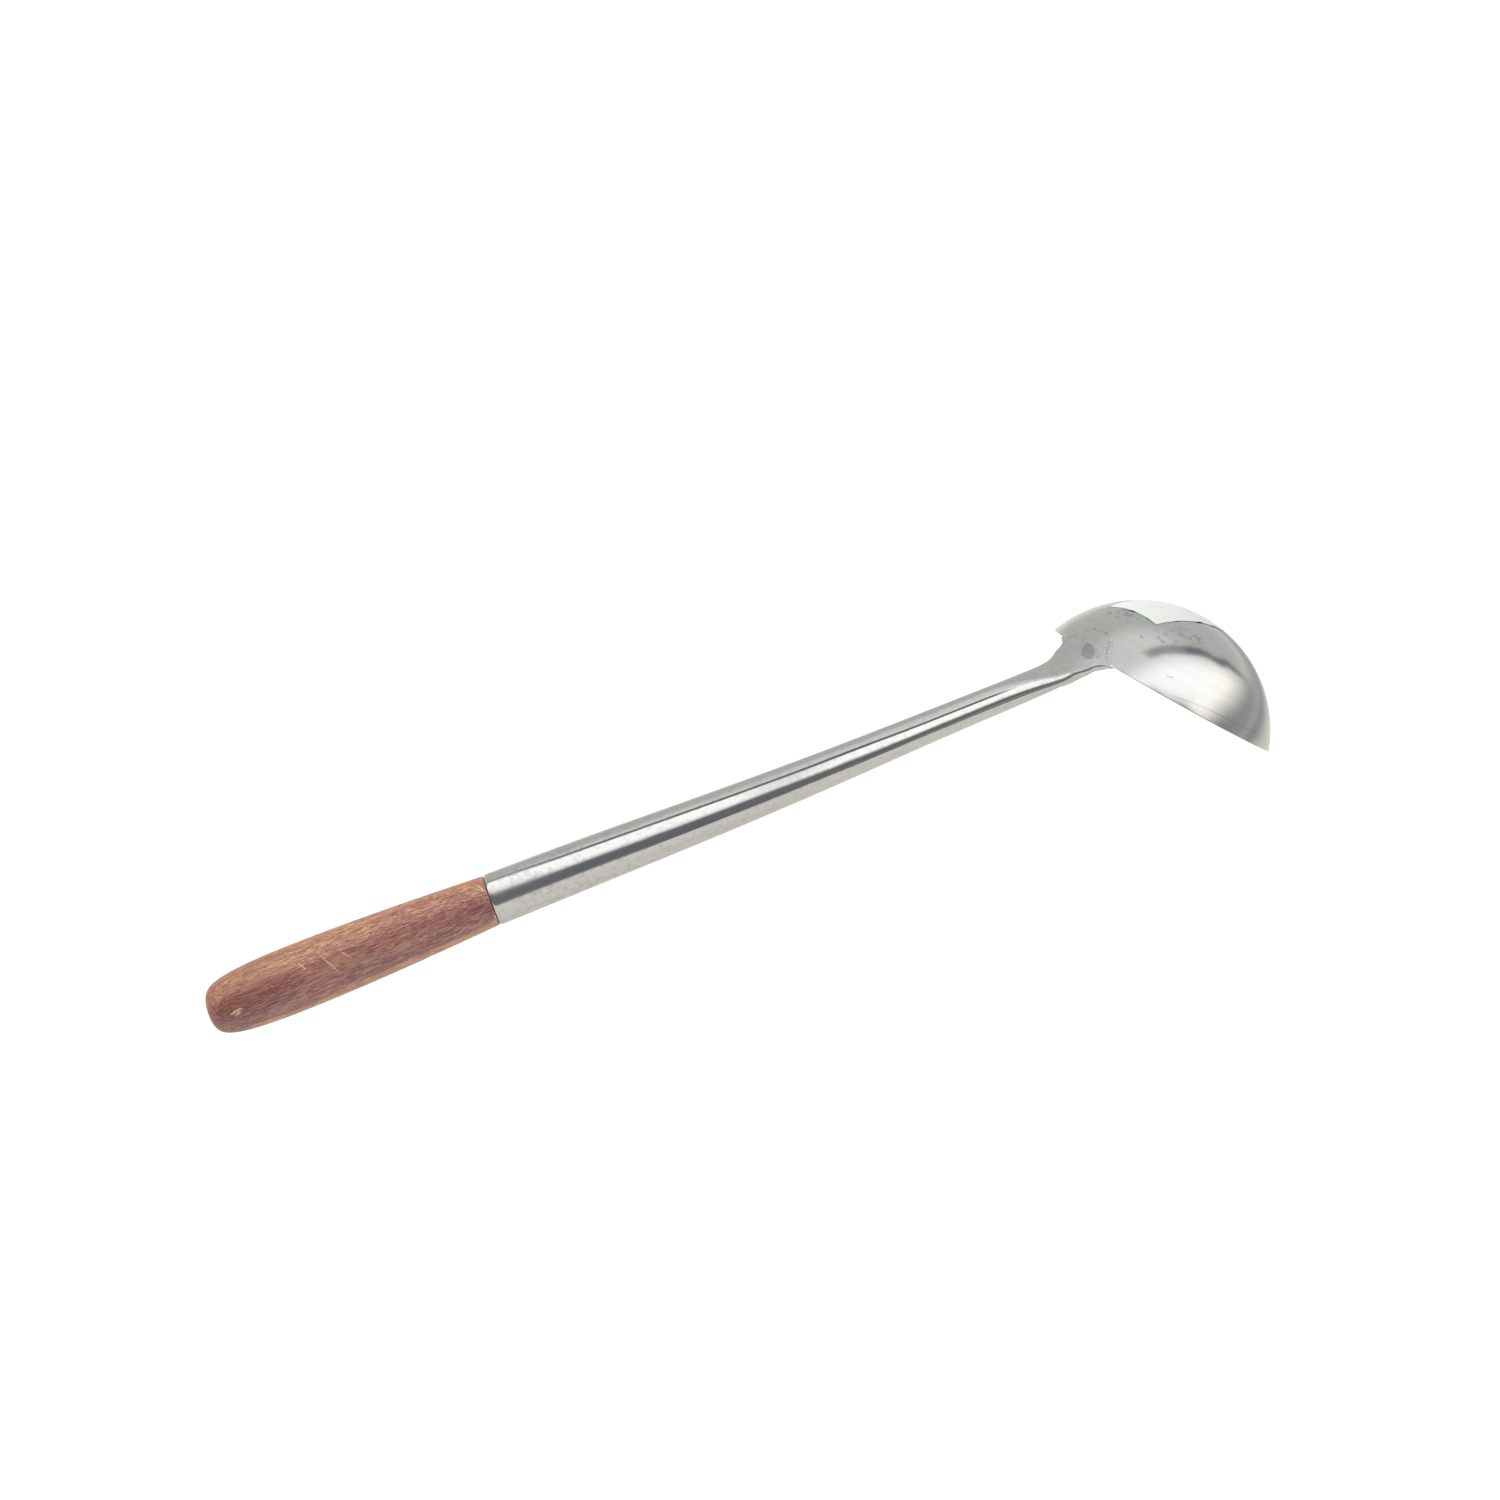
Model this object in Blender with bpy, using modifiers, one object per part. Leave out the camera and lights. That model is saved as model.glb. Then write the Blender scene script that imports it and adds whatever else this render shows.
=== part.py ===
"""Wok ladle: a pressed steel bowl, a rolled steel tube handle and a turned wooden grip.

It lies face down, as it rests on a table: the far side of the rim and the underside of the
grip touch z = 0. X runs from the bowl to the grip, Y across, and XZ is the mirror plane.
The pieces are modelled in the bowl's own frame, whose origin is the middle of the rim, with
+X towards the handle and +Z up through the top of the dome, and then tipped together.
"""
from math import asin, atan, atan2, cos, degrees, pi, radians, sin, sqrt, tan

import bmesh
import bpy
import numpy as np
from mathutils import Matrix, Vector

# All sizes are in metres.
# Bowl: a cap of a sphere, pressed from sheet
RIM_R = 0.060
BOWL_DEPTH = 0.042
BOWL_WALL = 0.0012

# Handle sheet, rolled to a tapering tube and left open along its underside
SHEET = 0.0012
HANDLE_ANGLE = radians(41.0)      # between the handle and the plane of the rim
HANDLE_DROP = 0.0081              # the tube's axis passes this far below the rim's edge
TUBE_END = 0.2795                 # from the rim's edge to the wood, along the handle
TUBE_R_END = 0.0102
TUBE_R_NECK = 0.0068
TAPER_FROM = 0.034                # the tube is narrowest here
TAPER_SOFTNESS = 0.8              # 0 is a straight cone, 1 runs parallel at both ends
TUBE_SLIT = 0.0006
SHANK_BOW = 0.0014                # sag of the tube between its ends

# Neck: towards the rim the tube is pressed flat, spreads, and opens along its underside
NECK_LENGTH = 0.0565              # from the rim's edge to where the tube is round
FLAT_AT_RIM = 0.0152              # half the width of its flat top at the rim
FLAT_CURVE = 2.38                 # 1 widens evenly, more keeps the neck slim for longer
SHOULDER_R = 0.0016               # least radius of the rounded shoulders beside the top
SHOULDER_SOFTNESS = 0.15          # how gently a shoulder runs into the flats
NECK_LIFT = 0.0017                # rise of the neck's middle line towards the rim
BEND_SOFTNESS = 0.0021            # how gently the neck bends up on to the bowl
OPEN_FROM = 0.0294                # beyond here the underside is closed
OPEN_BY = 0.0040                  # and here only its sides hang down
SIDE_TURN = radians(84.0)
SIDE = 0.0010                     # straight side below the shoulder
SIDE_LENGTH = 0.0050              # the shoulders and sides run out over this at the rim

# Tang: a round pad welded on the outside of the bowl
TANG_R = 0.0152
TANG_RISE = 0.0140                # how far it climbs above the rim, along the wall
TANG_TIP_TURN = radians(9.0)

# Wooden grip, turned, with a tenon inside the tube
GRIP_LENGTH = 0.0977
GRIP_R_SHOULDER = 0.0099
GRIP_R_MAX = 0.01205
GRIP_MAX_AT = 0.0650              # from the shoulder to the thickest place
BUTT_FULLNESS = 0.34              # smaller is squarer
BUTT_LEAD = 0.83                  # smaller keeps the grip thick for longer
BUTT_FLAT_R = 0.0050
TENON_LENGTH = 0.0280
TENON_CHAMFER = 0.0010

# Nail through the tube's wall into the tenon, on the side away from the seam
NAIL_R = 0.0010
NAIL_LENGTH = 0.0090
NAIL_HEAD_R = 0.0022
NAIL_HEAD_RISE = 0.0008
NAIL_FROM_END = 0.0110

# Paper label stuck on the dome
LABEL_LENGTH = 0.042
LABEL_WIDTH = 0.034
LABEL_THICK = 0.00025
LABEL_CORNER_X = 0.0434           # its corner nearest the handle, measured over the dome
LABEL_CORNER_Y = 0.0140
LABEL_TURN = radians(3.7)

GAP = 0.0003                      # between pieces that touch
TENON_CLEARANCE = 0.0004

# How finely curves are cut
BOWL_STEPS = 56
BOWL_RINGS = 15
SHEET_HALF_STRIPS = 13
WALK_STEPS = 200
TURN_WEIGHT = 0.6
TANG_ROWS = 9
NECK_ROWS = 24
TUBE_ROWS = 13
NECK_ROW_CURVE = 1.35             # more puts the rows closer together at the rim
GRIP_STEPS = 40

# Worked out from the sizes above
SPHERE_R = (RIM_R ** 2 + BOWL_DEPTH ** 2) / (2 * BOWL_DEPTH)
SPHERE_Z = BOWL_DEPTH - SPHERE_R
RIM_POLAR = asin(RIM_R / SPHERE_R) if BOWL_DEPTH < RIM_R else pi - asin(RIM_R / SPHERE_R)
BEND = RIM_POLAR - HANDLE_ANGLE
ALONG = np.array([cos(HANDLE_ANGLE), 0.0, -sin(HANDLE_ANGLE)])
ABOVE = np.array([sin(HANDLE_ANGLE), 0.0, cos(HANDLE_ANGLE)])
RIM_EDGE = np.array([RIM_R, 0.0, 0.0])
ACROSS = np.array([0.0, 1.0, 0.0])


def smoothstep(x):
    x = np.clip(x, 0.0, 1.0)
    return x * x * (3.0 - 2.0 * x)


def larger(a, b, softness):
    """The larger of two values, rounded where they cross."""
    return (a + b) / 2 + np.hypot((a - b) / 2, softness)


def ramp(x, softness):
    """From 0 before x = 0 to 1 after x = 1, with its corners rounded."""
    return (np.hypot(x, softness) - np.hypot(x - 1.0, softness) + 1.0) / 2


def material(name, color, roughness, metallic):
    mat = bpy.data.materials.new(name)
    mat.use_nodes = True
    shader = mat.node_tree.nodes["Principled BSDF"]
    shader.inputs["Base Color"].default_value = (*color, 1.0)
    shader.inputs["Roughness"].default_value = roughness
    shader.inputs["Metallic"].default_value = metallic
    mat.diffuse_color = (*color, 1.0)
    return mat


def add_object(name, mesh, mat, frame, collection):
    mesh.materials.append(mat)
    obj = bpy.data.objects.new(name, mesh)
    obj.parent = frame
    collection.objects.link(obj)
    return obj


def turned(name, profile, steps, mat, frame, collection):
    """A profile of (radius, height) points, turned about the object's own Z."""
    mesh = bpy.data.meshes.new(name)
    points = [(r, 0.0, z) for r, z in profile]
    edges = [(i, i + 1) for i in range(len(points) - 1)]
    mesh.from_pydata(points, edges, [])
    obj = add_object(name, mesh, mat, frame, collection)
    screw = obj.modifiers.new("turn", "SCREW")
    screw.axis = "Z"
    screw.angle = 2 * pi
    screw.steps = screw.render_steps = steps
    screw.use_merge_vertices = True
    screw.merge_threshold = 0.00001
    screw.use_smooth_shade = True
    return obj


def sheet(name, rows, thickness, outwards, mat, frame, collection):
    """Rows of points joined to an open surface, then given the sheet's thickness."""
    rows = np.asarray(rows)
    count, width = rows.shape[:2]
    mesh = bpy.data.meshes.new(name)
    faces = []
    for i in range(count - 1):
        for j in range(width - 1):
            k = i * width + j
            faces.append((k, k + width, k + width + 1, k + 1))
    mesh.from_pydata(rows.reshape(-1, 3).tolist(), [], faces)
    mesh.shade_smooth()
    obj = add_object(name, mesh, mat, frame, collection)
    solid = obj.modifiers.new("thickness", "SOLIDIFY")
    solid.thickness = thickness
    solid.offset = 1.0 if outwards else -1.0
    solid.use_even_offset = True
    return obj


def cut(obj, cutter):
    boolean = obj.modifiers.new("cut", "BOOLEAN")
    boolean.operation = "DIFFERENCE"
    boolean.solver = "EXACT"
    boolean.object = cutter


# Bowl

def bowl_profile():
    """From the top of the dome down its outside, across the ground rim and up the inside."""
    inner_r = SPHERE_R - BOWL_WALL
    inner_polar = atan2(sqrt(inner_r ** 2 - SPHERE_Z ** 2), -SPHERE_Z)
    profile = []
    for i in range(BOWL_RINGS + 1):
        polar = RIM_POLAR * i / BOWL_RINGS
        profile.append((SPHERE_R * sin(polar), SPHERE_Z + SPHERE_R * cos(polar)))
    for i in range(BOWL_RINGS, -1, -1):
        polar = inner_polar * i / BOWL_RINGS
        profile.append((inner_r * sin(polar), SPHERE_Z + inner_r * cos(polar)))
    profile[0] = (0.0, profile[0][1])
    profile[-1] = (0.0, profile[-1][1])
    profile[BOWL_RINGS] = (RIM_R, 0.0)
    profile[BOWL_RINGS + 1] = (profile[BOWL_RINGS + 1][0], 0.0)
    return profile


def on_dome(x, y, height):
    """The point x, y measured over the dome from its top, at a height above the wall."""
    arc = sqrt(x * x + y * y)
    polar = arc / SPHERE_R
    turn = atan2(y, x)
    radius = SPHERE_R + height
    return (radius * sin(polar) * cos(turn), radius * sin(polar) * sin(turn),
            SPHERE_Z + radius * cos(polar))


# Shank

def tube_radius(q):
    """Outer radius of the tube at a distance q from the rim's edge along the handle."""
    x = np.clip((q - TAPER_FROM) / (TUBE_END - TAPER_FROM), 0.0, 1.0)
    share = (1.0 - TAPER_SOFTNESS) * x + TAPER_SOFTNESS * smoothstep(x)
    return TUBE_R_NECK + (TUBE_R_END - TUBE_R_NECK) * share


def bow(q):
    """Sag of the tube's axis: nothing at its ends and most at its middle."""
    x = np.clip((q - TAPER_FROM) / (TUBE_END - TAPER_FROM), 0.0, 1.0)
    return SHANK_BOW * np.sin(pi * x) ** 2


def axis_point(q):
    return RIM_EDGE + q * ALONG - (HANDLE_DROP + bow(q)) * ABOVE


def strip_row(origin, lean, half_width, turn_at):
    """One row across the sheet: a walk from its middle to each edge that turns as it goes.

    lean is how steeply the sheet runs down here, and turn_at gives the angle that the
    sheet has turned through at a distance from its middle. The points are closer
    together where it turns more.
    """
    walk = np.linspace(0.0, half_width, WALK_STEPS + 1)
    middle = (walk[1:] + walk[:-1]) / 2
    stride = half_width / WALK_STEPS
    side = np.concatenate([[0.0], np.cumsum(np.cos(turn_at(middle)) * stride)])
    drop = np.concatenate([[0.0], np.cumsum(np.sin(turn_at(middle)) * stride)])
    turn = turn_at(walk) / max(turn_at(half_width), 0.001)
    spread = (1.0 - TURN_WEIGHT) * walk / half_width + TURN_WEIGHT * turn
    at = np.interp(np.linspace(0.0, 1.0, SHEET_HALF_STRIPS + 1), spread, walk)
    side = np.interp(at, walk, side)
    drop = np.interp(at, walk, drop)
    outward = np.array([sin(lean), 0.0, cos(lean)])
    right = origin + side[:, None] * ACROSS - drop[:, None] * outward
    left = right * np.array([1.0, -1.0, 1.0])
    return np.concatenate([left[:0:-1], right])


def tang_rows():
    """The pad lies on the dome and ends in a round edge above the rim."""
    outer_r = SPHERE_R + GAP + SHEET
    centre_rise = TANG_RISE - TANG_R
    rim_turn = np.arccos(np.clip(-centre_rise / TANG_R, -1.0, 1.0))
    rows = []
    for turn in np.linspace(TANG_TIP_TURN, rim_turn, TANG_ROWS, endpoint=False):
        rise = centre_rise + TANG_R * cos(turn)
        polar = RIM_POLAR - rise / SPHERE_R
        origin = np.array([outer_r * sin(polar), 0.0, SPHERE_Z + outer_r * cos(polar)])
        rows.append(strip_row(origin, polar, TANG_R * sin(turn), lambda v: v / outer_r))
    return rows


def neck_row(q, start_q, start_top):
    """A row between the rim and the round tube."""
    pressed = np.clip(1.0 - q / NECK_LENGTH, 0.0, 1.0)
    flat = FLAT_AT_RIM * pressed ** FLAT_CURVE
    radius = tube_radius(q)
    closed_r = radius - 2 * flat / pi
    shoulder_r = larger(closed_r, SHOULDER_R, SHEET / 4)

    pad_line = start_top - tan(BEND) * (q - start_q)
    neck_line = closed_r - HANDLE_DROP - bow(q) + NECK_LIFT * pressed ** 4
    top = larger(pad_line, neck_line, BEND_SOFTNESS)
    half_step = (pad_line - neck_line) / 2
    pad_share = (1.0 + half_step / np.hypot(half_step, BEND_SOFTNESS)) / 2
    lean = HANDLE_ANGLE + BEND * pad_share
    origin = RIM_EDGE + q * ALONG + top * ABOVE

    opened = 1.0 - smoothstep((q - OPEN_BY) / (OPEN_FROM - OPEN_BY))
    turn_end = pi + (SIDE_TURN - pi) * opened
    shoulder = turn_end * shoulder_r
    run_out = smoothstep((q - start_q) / SIDE_LENGTH)
    half_width = pi * radius - TUBE_SLIT / 2
    half_width += (flat + (shoulder + SIDE) * run_out - half_width) * opened
    softness = SHOULDER_SOFTNESS * (1.0 - closed_r / radius)
    first = ramp(-flat / shoulder, softness)

    def turn_at(v):
        share = (ramp((v - flat) / shoulder, softness) - first) / (1.0 - first)
        return turn_end * share * run_out + pad_share * v / (SPHERE_R + GAP + SHEET)

    return strip_row(origin, lean, half_width, turn_at)


def tube_row(q):
    radius = tube_radius(q)
    origin = axis_point(q) + radius * ABOVE
    return strip_row(origin, HANDLE_ANGLE, pi * radius - TUBE_SLIT / 2, lambda v: v / radius)


def shank_rows():
    rows = tang_rows()
    lift = GAP + SHEET
    start_q, start_top = lift * sin(BEND), lift * cos(BEND)
    for share in np.linspace(0.0, 1.0, NECK_ROWS, endpoint=False):
        q = start_q + (NECK_LENGTH - start_q) * share ** NECK_ROW_CURVE
        rows.append(neck_row(q, start_q, start_top))
    for q in np.linspace(NECK_LENGTH, TUBE_END, TUBE_ROWS):
        rows.append(tube_row(q))
    return rows


# Grip

def grip_radius_at(distance):
    """Half-thickness of the wood at a distance from the shoulder, up to its thickest place."""
    share = sin(pi / 2 * distance / GRIP_MAX_AT)
    return GRIP_R_SHOULDER + (GRIP_R_MAX - GRIP_R_SHOULDER) * share


def grip_profile():
    """From the middle of the butt, over the wood to the shoulder, and down the tenon."""
    last_turn = np.arccos((BUTT_FLAT_R / GRIP_R_MAX) ** (1.0 / BUTT_FULLNESS))
    end_share = sin(last_turn) ** BUTT_LEAD
    end_length = GRIP_LENGTH - GRIP_MAX_AT
    profile = [(0.0, GRIP_LENGTH)]
    for turn in np.linspace(last_turn, 0.0, 12, endpoint=False):
        share = sin(turn) ** BUTT_LEAD / end_share
        profile.append((GRIP_R_MAX * cos(turn) ** BUTT_FULLNESS,
                        GRIP_MAX_AT + end_length * share))
    for distance in np.linspace(GRIP_MAX_AT, GAP, 7):
        profile.append((grip_radius_at(distance), distance))
    tip = TUBE_END - TENON_LENGTH
    tenon_r = tube_radius(TUBE_END) - SHEET - TENON_CLEARANCE
    tip_r = tube_radius(tip) - SHEET - TENON_CLEARANCE
    profile.append((tenon_r, GAP))
    profile.append((tip_r, TENON_CHAMFER - TENON_LENGTH))
    profile.append((tip_r - TENON_CHAMFER, -TENON_LENGTH))
    profile.append((0.0, -TENON_LENGTH))
    return profile


# Nail

def nail_profile():
    """From the top of its domed head down to its point, along the nail's own Z."""
    profile = []
    for i in range(4):
        turn = pi / 2 * i / 4
        profile.append((NAIL_HEAD_R * sin(turn), NAIL_HEAD_RISE * cos(turn)))
    profile += [(NAIL_HEAD_R, 0.0), (NAIL_R, 0.0),
                (NAIL_R, 2 * NAIL_R - NAIL_LENGTH), (0.0, -NAIL_LENGTH)]
    return profile


def nail_cutter(place, cutters):
    """The hole through the tube's wall and on into the tenon."""
    mesh = bpy.data.meshes.new("nail_hole")
    shape = bmesh.new()
    depth = NAIL_LENGTH + 2 * GAP + NAIL_HEAD_R
    bmesh.ops.create_cone(shape, cap_ends=True, segments=16, radius1=NAIL_R + GAP,
                          radius2=NAIL_R + GAP, depth=depth,
                          matrix=Matrix.Translation((0.0, 0.0, NAIL_HEAD_R - depth / 2)))
    shape.to_mesh(mesh)
    shape.free()
    cutter = bpy.data.objects.new("nail_hole", mesh)
    cutter.matrix_local = place
    cutter.hide_render = True
    cutter.display_type = "WIRE"
    cutters.objects.link(cutter)
    return cutter


# Label

def label_rows():
    """A rectangle laid over the dome."""
    rows = []
    for s in np.linspace(0.0, LABEL_LENGTH, 11):
        row = []
        for t in np.linspace(0.0, LABEL_WIDTH, 9):
            x = LABEL_CORNER_X - s * cos(LABEL_TURN) + t * sin(LABEL_TURN)
            y = LABEL_CORNER_Y + s * sin(LABEL_TURN) - t * cos(LABEL_TURN)
            row.append(on_dome(x, y, GAP))
        rows.append(row)
    return rows


# Rest on the table

def rest_tilt():
    """The angle that brings the far rim and the underside of the grip down on one plane."""
    slopes = []
    for r, z in grip_profile():
        point = axis_point(TUBE_END) + z * ALONG - r * ABOVE
        slopes.append(atan2(point[2], point[0] + RIM_R))
    return -min(slopes)


def build():
    for obj in list(bpy.data.objects):
        bpy.data.objects.remove(obj, do_unlink=True)
    parts = bpy.data.collections.new("wok_ladle")
    cutters = bpy.data.collections.new("cutters")
    bpy.context.scene.collection.children.link(parts)
    bpy.context.scene.collection.children.link(cutters)

    bowl_steel = material("bowl_steel", (0.62, 0.62, 0.60), 0.30, 1.0)
    shank_steel = material("shank_steel", (0.60, 0.60, 0.58), 0.26, 1.0)
    nail_steel = material("nail_steel", (0.45, 0.45, 0.44), 0.35, 1.0)
    wood = material("wood", (0.32, 0.15, 0.10), 0.50, 0.0)
    paper = material("paper", (0.90, 0.91, 0.89), 0.60, 0.0)

    frame = bpy.data.objects.new("bowl_frame", None)
    parts.objects.link(frame)
    frame.rotation_euler = (0.0, -rest_tilt(), 0.0)

    bowl = turned("bowl", bowl_profile(), BOWL_STEPS, bowl_steel, frame, parts)
    shank = sheet("shank", shank_rows(), SHEET, False, shank_steel, frame, parts)
    label = sheet("paper_label", label_rows(), LABEL_THICK, True, paper, frame, parts)

    grip = turned("grip", grip_profile(), GRIP_STEPS, wood, frame, parts)
    grip.location = Vector(axis_point(TUBE_END))
    grip.rotation_euler = (0.0, pi / 2 + HANDLE_ANGLE, 0.0)

    nail = turned("grip_nail", nail_profile(), 16, nail_steel, frame, parts)
    nail_q = TUBE_END - NAIL_FROM_END
    seat = tube_radius(nail_q) + GAP
    nail.location = Vector(axis_point(nail_q) - seat * ACROSS)
    nail.rotation_euler = (pi / 2, 0.0, 0.0)

    place = frame.matrix_basis @ Matrix.Translation(nail.location) @ Matrix.Rotation(pi / 2, 4, "X")
    hole = nail_cutter(place, cutters)
    cut(shank, hole)
    cut(grip, hole)

    # The far rim touches z = 0, and the middle of the length is brought to x = 0.
    far_rim = frame.matrix_basis.to_3x3() @ Vector((-RIM_R, 0.0, 0.0))
    frame.location.z = -far_rim.z
    hole.location.z -= far_rim.z
    bpy.context.view_layer.update()
    graph = bpy.context.evaluated_depsgraph_get()
    reach = []
    for obj in (bowl, grip):
        mesh = obj.evaluated_get(graph).to_mesh()
        reach += [(obj.matrix_world @ v.co).x for v in mesh.vertices]
        obj.evaluated_get(graph).to_mesh_clear()
    middle = (min(reach) + max(reach)) / 2
    frame.location.x -= middle
    hole.location.x -= middle
    bpy.context.view_layer.update()
    print("tilt", round(degrees(rest_tilt()), 2), "length", round(max(reach) - min(reach), 4))
    return label


build()
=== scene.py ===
"""Looks of the wok ladle: a pressed steel bowl, a rolled steel handle with its welded pad, a
turned wooden grip, the nail that holds the grip, and a blank paper label.

Every piece is worked out in metres in the bowl's own frame, whose origin is the middle of
the rim, with +X towards the handle and +Z up through the dome. set_down() then carries the
points to the table, where the CAD model lies.
"""
from math import asin, atan2, cos, pi, radians, sin, sqrt, tan

import bmesh
import bpy
import numpy as np
from mathutils import Matrix, Vector


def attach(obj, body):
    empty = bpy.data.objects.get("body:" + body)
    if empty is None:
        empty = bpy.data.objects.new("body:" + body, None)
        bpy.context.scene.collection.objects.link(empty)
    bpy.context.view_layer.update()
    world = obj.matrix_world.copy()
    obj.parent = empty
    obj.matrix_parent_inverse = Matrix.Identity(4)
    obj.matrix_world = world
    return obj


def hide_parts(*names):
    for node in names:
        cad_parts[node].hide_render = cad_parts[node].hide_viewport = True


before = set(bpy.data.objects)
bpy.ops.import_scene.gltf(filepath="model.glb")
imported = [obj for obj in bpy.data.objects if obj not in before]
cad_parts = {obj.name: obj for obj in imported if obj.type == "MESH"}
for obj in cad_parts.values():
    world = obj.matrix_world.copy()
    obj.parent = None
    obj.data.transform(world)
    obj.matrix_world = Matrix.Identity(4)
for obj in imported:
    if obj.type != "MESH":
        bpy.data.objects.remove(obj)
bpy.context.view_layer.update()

# How the ladle lies: the middle of its rim, and the angle between the rim and the table
RIM_CENTRE = np.array([-0.18593123, 0.0, 0.03318605])
TILT = atan2(0.55310077, 0.83311436)
BOWL_X = np.array([cos(TILT), 0.0, sin(TILT)])
BOWL_Z = np.array([-sin(TILT), 0.0, cos(TILT)])
ACROSS = np.array([0.0, 1.0, 0.0])

# Bowl: a cap of a sphere with a rounded edge
RIM_R = 0.060
BOWL_DEPTH = 0.042
BOWL_WALL = 0.0012
RIM_ROUND = 0.00032
SPHERE_R = (RIM_R ** 2 + BOWL_DEPTH ** 2) / (2 * BOWL_DEPTH)
SPHERE_Z = BOWL_DEPTH - SPHERE_R
RIM_POLAR = asin(RIM_R / SPHERE_R)
FINE_RISE = 0.0075                # up to this height over the rim the rows lie close together
BOWL_STEPS = 288

# Crease just over the rim
CREASE_RISE = 0.0058              # its height over the rim at the far side
CREASE_FROM = radians(42.0)       # where it leaves the rim, round from the handle
CREASE_SPREAD = radians(12.0)     # less lets it climb sooner
CREASE_LEAN = 0.010               # how far the wall leans out under it, in radians
CREASE_SOFTNESS = 0.00012
CREASE_REACH = 0.0012             # the wall is left alone higher over the crease than this

# Handle sheet, rolled to a tapering tube and left open along its underside
SHEET = 0.0012
SHEET_EDGE = 0.00028              # how far its edges bulge
HANDLE_ANGLE = radians(41.0)      # between the handle and the plane of the rim
HANDLE_DROP = 0.0081              # the tube's axis passes this far below the rim's edge
TUBE_END = 0.2795                 # from the rim's edge to the wood, along the handle
TUBE_R_END = 0.0102
TUBE_R_NECK = 0.0068
TAPER_FROM = 0.034                # the tube is narrowest here
TAPER_SOFTNESS = 0.8              # 0 is a straight cone, 1 runs parallel at both ends
TUBE_SLIT = 0.0006
SHANK_BOW = 0.0014                # sag of the tube between its ends
LIP = 0.00024                     # how far the tube's end curls in
LIP_LENGTH = 0.00055
LIP_ROWS_FROM = 0.0016            # this near the end the rows lie close together

# Neck: towards the rim the tube is pressed flat, spreads, and opens along its underside
NECK_LENGTH = 0.0565
FLAT_AT_RIM = 0.0152              # half the width of its flat top at the rim
FLAT_CURVE = 2.38                 # 1 widens evenly, more keeps the neck slim for longer
EDGE_WAVES = ((0.0085, 0.0022, 0.0005), (0.0150, 0.0030, -0.0004))   # place, width, height
SHOULDER_R = 0.0016               # least radius of the rounded shoulders beside the top
SHOULDER_SOFTNESS = 0.15
NECK_LIFT = 0.0017                # rise of the neck's middle line towards the rim
BEND_SOFTNESS = 0.0021            # how gently the neck bends up on to the bowl
JOIN_LENGTH = 0.005               # over this the neck's middle line comes down to the pad's
OPEN_FROM = 0.0294                # beyond here the underside is closed
OPEN_BY = 0.0040                  # and here only its sides hang down
SIDE_TURN = radians(84.0)
SIDE = 0.0010                     # straight side below the shoulder
SIDE_LENGTH = 0.0050              # the shoulders and sides run out over this at the rim

# Pad: the round end of the sheet, welded on the outside of the bowl
TANG_R = 0.0152
TANG_RISE = 0.0140                # how far it climbs above the rim, along the wall
TANG_TIP_TURN = radians(1.5)      # its first row lies this far round from its tip
PAD_GAP = 0.00008
PAD_EDGE = 0.00010                # how far its edge bulges
PAD_THICK = 0.00055
PAD_EDGE_THICK = 0.00024
PAD_BEVEL = 0.0013                # width of the thinner edge
THICKEN_FROM = -0.0010            # from here along the handle the sheet thickens
THICKEN_LENGTH = 0.0080
FLARE = 0.0054                    # extra half width where the pad meets the neck
FLARE_AT = -0.0004                # where it is widest, along the handle from the rim
FLARE_ON_PAD = 0.0030             # how far it spreads each way
FLARE_ON_NECK = 0.0034

# Rows of the sheet, and the points and finer strides of each half row
PAD_ROWS = 44
NECK_ROWS = 96
NECK_ROW_CURVE = 1.25             # more puts the rows closer together at the rim
TUBE_ROWS = 70
LIP_ROWS = 12
COLUMNS = 64
FINE = 6

# Wooden grip, turned, with a tenon inside the tube
GRIP_LENGTH = 0.0977
GRIP_R_SHOULDER = 0.0099
GRIP_R_MAX = 0.01205
GRIP_MAX_AT = 0.0650              # from the shoulder to the thickest place
BUTT_FULLNESS = 0.34              # smaller is squarer
BUTT_LEAD = 0.83                  # smaller keeps the grip thick for longer
BUTT_FLAT_R = 0.0050
TENON_LENGTH = 0.0280
TENON_CHAMFER = 0.0010
TENON_CLEARANCE = 0.0004
SEAM_GAP = 0.0002                 # between the tube's end and the wood
SEAM_ROWS_FROM = 0.004            # this near the seam the rows lie close together
SEAM_BITES = ((4.55, 0.05, 0.5), (4.38, 0.04, 0.6), (4.12, 0.07, 0.7),
              (3.60, 0.05, 0.5), (2.50, 0.09, 0.4), (0.65, 0.05, 0.3))   # turn, width, share
BITE_DEPTH = 0.0009
BITE_LENGTH = 0.0007
SEAM_WEAR = 0.00018               # the whole edge is worn down by this
SEAM_WEAR_LENGTH = 0.0004
GRIP_STEPS = 160

# Nail in the side of the tube that faces away from the camera
NAIL_R = 0.0010
NAIL_LENGTH = 0.0090
NAIL_HEAD_R = 0.0022
NAIL_HEAD_RISE = 0.0008
NAIL_HEAD_UNDER = 0.0003
NAIL_FROM_END = 0.0110
NAIL_SEAT = 0.0001
NAIL_STEPS = 48

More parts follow.
